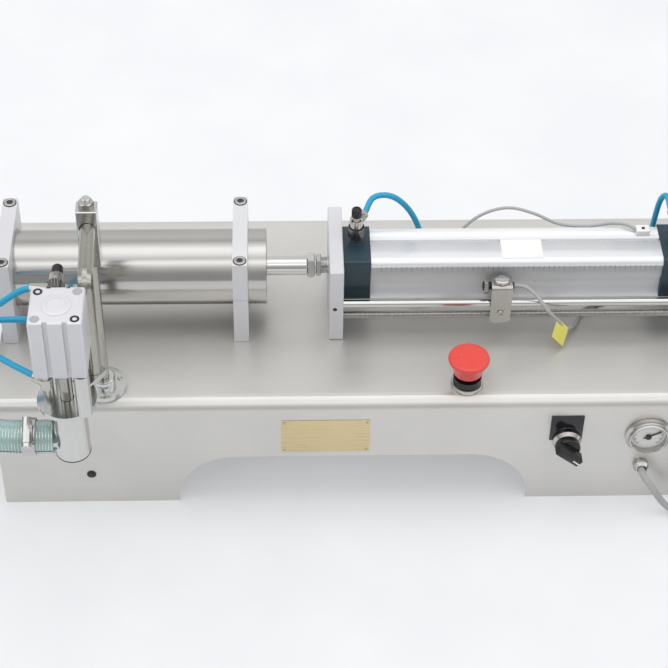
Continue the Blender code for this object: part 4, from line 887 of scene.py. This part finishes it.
# Drive cylinder: scale, bare label and position switch
SCALE_LEFT, SCALE_TOP, SCALE_STEP = 0.3770, 0.2166, 0.005
ticks = bmesh.new()
for i in range(55):
    x = SCALE_LEFT + SCALE_STEP * i
    tall = 0.0040 if i % 2 else 0.0066
    block(ticks, at(x, 0.11092, SCALE_TOP - tall), at(x + 0.00045, 0.11104, SCALE_TOP), 0.0)
shown("stroke_scale", ticks, "grey_ink_and_hole_shade")
boxed("barrel_label", at(0.4960, 0.1160, 0.2219), at(0.5366, 0.1435, 0.2223), "white", soft=0.0001)
boxed("position_switch", at(0.6320, 0.1470, 0.2219), at(0.6450, 0.1570, 0.2285), "white", soft=0.0006)
boxed("switch_window", at(0.6372, 0.1502, 0.2284), at(0.6404, 0.1536, 0.2288), "black_gloss", soft=0.0002)

# Screws in the clamps and in the stand's flange
CLAMP_SCREW_HEIGHT = DECK + 0.1019
CLAMP_HALF = 0.00725
# Painted shade: a thin ink ring round each clamp screw's head stands for the shade in the counterbore's gap,
# and an ink disc in each socket stands for the shade at its bottom.
COUNTERBORE_SHADE_RING = [(0.0058, 0.0), (0.0066, 0.0), (0.0066, 0.0003), (0.0058, 0.0003), (0.0058, 0.0)]
screws = bmesh.new()
recess_shade = bmesh.new()
for left in (0.0042, 0.2322):
    for away in (-0.0440, 0.0440):
        x, y = left + CLAMP_HALF, AXIS_Y + away
        seat = at(x, y, CLAMP_SCREW_HEIGHT)
        cap_screw(screws, seat, UP, 0.0058, 0.0016)
        spun(recess_shade, seat, UP, [(0.0030, 0.0), (0.0030, 0.0010), (0.0, 0.0010)], 24)
        spun(recess_shade, at(x, y, CLAMP_SCREW_HEIGHT + 0.0001), UP, COUNTERBORE_SHADE_RING, 32)
for turn in (20, 110, 200, 290):
    cap_screw(screws, at(0.1070, 0.0260, DECK + 0.0050) + arm_line(turn) * 0.0160, UP, 0.0026, 0.0011)
shown("clamp_recess_shade", recess_shade, "ink_and_hole_shade")

# Set-screw holes in the front edges of the drive plate and the rear plate, drawn as thin ink discs that are
# painted shade inside the holes
plate_hole_shade = bmesh.new()
for x in (0.3317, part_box("rear_plate")[0].x - CORNER.x + 0.0069):
    spun(plate_hole_shade, at(x, AXIS_Y - 0.0495, DECK + 0.0415), FRONT, [
        (0.0022, 0.0), (0.0021, 0.0002), (0.0017, 0.0001), (0.0, 0.0001),
    ], 24)
shown("plate_hole_shade", plate_hole_shade, "ink_and_hole_shade")
shown("socket_screws", screws, "plain_steel")

# Top of the nozzle's air cylinder, and the rim of the nozzle
BLOCK_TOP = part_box("nozzle_cylinder")[1].z - CORNER.z
CORNER_HOLE = 0.017
heads = bmesh.new()
holes = bmesh.new()
for side in (-1, 1):
    x = NOZZLE_X + side * CORNER_HOLE
    cap_screw(heads, at(x, NOZZLE_Y - side * CORNER_HOLE, BLOCK_TOP - 0.0002), UP, 0.0042, 0.0008)
# Two open holes in the block's top, drawn as thin grey discs that are painted shade inside the holes
for side in (1, -1):
    x = NOZZLE_X + side * CORNER_HOLE
    spun(holes, at(x, NOZZLE_Y + side * CORNER_HOLE, BLOCK_TOP), UP, [
        (0.0044, 0.0), (0.0040, 0.0003), (0.0036, 0.0001), (0.0, 0.0001),
    ], 32)
shown("block_screws", heads, "black")
shown("block_hole_shade", holes, "grey_ink_and_hole_shade")
turned("block_boss", at(NOZZLE_X, NOZZLE_Y, BLOCK_TOP - 0.0002), UP, [
    (0.0130, 0.0), (0.0130, 0.0006), (0.0124, 0.0010), (0.0090, 0.0010), (0.0086, 0.0005), (0.0, 0.0005),
], "white_alloy", steps=64)
turned("nozzle_rim", at(NOZZLE_X, NOZZLE_Y, 0.1681), UP, [
    (0.0155, 0.0), (0.0163, 0.0), (0.01645, 0.0003), (0.01645, 0.0009), (0.0163, 0.0012), (0.0155, 0.0012),
    (0.0155, 0.0),
], "ink_and_hole_shade", steps=64)

# Threaded rods and nuts
PITCH = 0.00125
low, high, middle = extent("lead_screw")
span = high.x - low.x
count = int(span / PITCH) - 1
thread = [(0.0, 0.0)]
for i in range(count):
    foot = i * PITCH
    thread += [(0.0034, foot + 0.0002), (0.0040, foot + 0.00055), (0.0040, foot + 0.0008)]
thread += [(0.0034, count * PITCH), (0.0034, span), (0.0, span)]
turned(
    "screw_thread", (low.x, middle.y, middle.z), RIGHT, thread, "plain_steel", "screw",
    ("lead_screw",), 20, 60.0,
)
low, high, middle = extent("lock_nut")
turned(
    "piston_nut", (low.x, middle.y, middle.z), RIGHT, hex_profile(0.0212, high.x - low.x, 0.0080),
    "rod_steel", "ram", ("lock_nut",), 48, 25.0,
)
turned(
    "rod_nut", (high.x + 0.0008, middle.y, middle.z), RIGHT, hex_profile(0.0190, 0.0055, 0.0080),
    "satin", "ram", (), 48, 25.0,
)
rod_end = [(0.0078, 0.0)]
for i in range(6):
    foot = 0.001 * i
    rod_end += [(0.0086, 0.0004 + foot), (0.0086, 0.0007 + foot), (0.0080, 0.0010 + foot)]
rod_end += [(0.0078, 0.0064), (0.0078, 0.0)]
turned(
    "rod_thread", (high.x + 0.0064, middle.y, middle.z), RIGHT, rod_end, "satin", "ram",
    (), 32, 60.0,
)


# Knobs and the sleeves of the flow fittings
def grip_knob(node, axis, radius, name, body):
    """A knob with a toothed rim, in the place of its CAD node."""
    low, high, middle = extent(node)
    axis = Vector(axis)
    span = abs((high - low).dot(axis))
    start = middle - axis * span / 2
    dish = span - 0.0006
    profile = [
        (0.0, 0.0),
        (radius * 0.86, 0.0),
        (radius, 0.0008, "grip"),
        (radius, span - 0.0014, "grip"),
        (radius * 0.88, span - 0.0003),
        (radius * 0.62, span),
        (radius * 0.56, dish),
        (0.0, dish),
    ]
    turned(name, start, axis, profile, "black", body, (node,), 72, 50.0)


grip_knob("front_knob", UP, 0.0050, "front_flow_knob", "front_flow_screw")
grip_knob("rear_knob", UP, 0.0050, "rear_flow_knob", "rear_flow_screw")
grip_knob("nozzle_knob", BACK, 0.0050, "nozzle_flow_knob", "nozzle_flow_screw")
grip_knob("handwheel", RIGHT, 0.0150, "handwheel_grip", "screw")

SLEEVES = {
    "front_fitting_sleeve": (FRONT_PORT, UP),
    "rear_fitting_sleeve": (REAR_PORT, UP),
    "nozzle_fitting_sleeve": (NOZZLE_PORT, BACK),
}
for name, (port, axis) in SLEEVES.items():
    turned(name, at(*port[0]), axis, [
        (0.0062, 0.0068), (0.0078, 0.0066), (0.00822, 0.0074, "grip"), (0.00822, 0.0170, "grip"),
        (0.0078, 0.0180), (0.0062, 0.0180), (0.0062, 0.0068),
    ], "black", "machine", (), 72, 50.0)

# Bolt on the arm block and the hose clamp's screw
low, high, middle = extent("arm_block")
bolt = hex_profile(0.0120, 0.0066)
turned("arm_bolt", (middle.x, middle.y, high.z), UP, bolt, "nickel", angle=25.0)
turned("arm_bolt_end", (middle.x, middle.y, high.z + 0.0060), UP, [
    (0.0, 0.0), (0.0040, 0.0), (0.0040, 0.0036), (0.0034, 0.0044), (0.0, 0.0044),
], "satin", steps=32)
CLAMP_TILT = math.radians(62.0)
away = Vector((0.0, -math.cos(CLAMP_TILT), math.sin(CLAMP_TILT)))
along = Vector((0.0, math.sin(CLAMP_TILT), math.cos(CLAMP_TILT)))
screw_foot = at(0.0490, NOZZLE_Y, 0.18665) + away * 0.0210 - along * 0.0120
turned("clamp_screw", screw_foot, -along, [
    *hex_profile(0.0074, 0.0040)[:-1], (0.0030, 0.0036), (0.0, 0.0036),
], "satin", angle=25.0)

# Sensor bracket
low, high, middle = extent("sensor_carriage")
bracket = bmesh.new()
cap_screw(bracket, (middle.x, low.y, at(0, 0, 0.1712).z), FRONT, 0.0033, 0.0016)
shown("bracket_screw", bracket, "nickel", "carriage")
turned("bracket_nut", (middle.x, at(0, 0.1014, 0).y, high.z), UP, [
    (0.0, 0.0), (0.0070, 0.0), (0.0078, 0.0006, "grip"), (0.0078, 0.0036, "grip"), (0.0070, 0.0042),
    (0.0042, 0.0044), (0.0038, 0.0036), (0.0, 0.0036),
], "chrome", "carriage", (), 36, 50.0)
low, high, middle = extent("stroke_sensor")
span = high.x - low.x
turned("sensor_barrel", (low.x, middle.y, middle.z), RIGHT, [
    (0.0, 0.0006), (0.0032, 0.0004), (0.0038, 0.0), (0.0044, 0.0006), (0.0044, 0.0070), (0.0036, 0.0074),
    (0.0036, 0.0084), (0.0045, 0.0088), (0.0045, span - 0.0015), (0.0032, span), (0.0, span),
], "black", "carriage", ("stroke_sensor",), 40, 40.0)
turned(
    "sensor_nut", (low.x + 0.0012, middle.y, middle.z), RIGHT, hex_profile(0.0130, 0.0042, 0.0040),
    "nickel", "carriage", (), 48, 25.0,
)
turned("sensor_sleeve", (low.x + 0.0084, middle.y, middle.z), RIGHT, [
    (0.0040, 0.0), (0.00462, 0.0003), (0.00462, 0.0045), (0.0040, 0.0048), (0.0040, 0.0),
], "nickel", "carriage", (), 40, 40.0)

# CAD nodes that keep their shape, with their look and material slot
SKINS = {
    "base_cover": ("deck_steel", "brushed_steel"),
    "material_tube": ("tube_steel", "brushed_steel"),
    "cylinder_head": ("tube_steel", "brushed_steel"),
    "valve_block": ("plain_steel", "brushed_steel"),
    "arm_block": ("satin", "brushed_steel"),
    "guide_rod": ("rod_steel", "polished_steel"),
    "stand_flange": ("satin", "polished_steel"),
    "stand_post": ("shaded_post_steel", "polished_steel"),
    "nozzle_arm": ("shaded_post_steel", "polished_steel"),
    "nozzle_body": ("satin", "polished_steel"),
    "outlet_barb": ("chrome", "polished_steel"),
    "inlet_barb": ("chrome", "polished_steel"),
    "clamp_1_lower": ("white_alloy", "white_alloy"),
    "clamp_1_upper": ("white_alloy", "white_alloy"),
    "clamp_2_lower": ("white_alloy", "white_alloy"),
    "clamp_2_upper": ("white_alloy", "white_alloy"),
    "drive_plate": ("white_alloy", "white_alloy"),
    "rear_plate": ("white_alloy", "white_alloy"),
    "nozzle_cylinder": ("white_alloy", "white_alloy"),
    "drive_barrel": ("barrel_alloy", "barrel_alloy"),
    "solenoid_valve": ("barrel_alloy", "barrel_alloy"),
    "drive_front_cap": ("cap_blue", "cap_blue"),
    "drive_rear_cap": ("cap_blue", "cap_blue"),
    "estop_base": ("black", "black_plastic"),
    "estop_stem": ("black", "black_plastic"),
    "nozzle_lower_fitting": ("nickel", "nickel"),
    "front_fitting": ("nickel", "nickel"),
    "rear_fitting": ("nickel", "nickel"),
    "nozzle_fitting": ("nickel", "nickel"),
    "selector_body": ("nickel", "nickel"),
    "selector_knob": ("black", "black_plastic"),
    "gauge_case": ("nickel", "nickel"),
    "gauge_needle": ("black", "black_plastic"),
    "cord_gland": ("nickel", "nickel"),
    "hose_clamp": ("chrome", "nickel"),
    "material_piston": ("chrome", "polished_steel"),
    "piston_seal": ("white", "seal_ptfe"),
    "piston_rod": ("rod_steel", "polished_steel"),
    "drive_rod": ("rod_steel", "polished_steel"),
    "outlet_valve": ("white", "seal_ptfe"),
    "inlet_valve": ("white", "seal_ptfe"),
    "sensor_carriage": ("plain_steel", "polished_steel"),
    "nozzle_stem": ("shaded_post_steel", "polished_steel"),
}
for node, (look, slot) in SKINS.items():
    skin(node, look)

scene.view_settings.view_transform = "Standard"
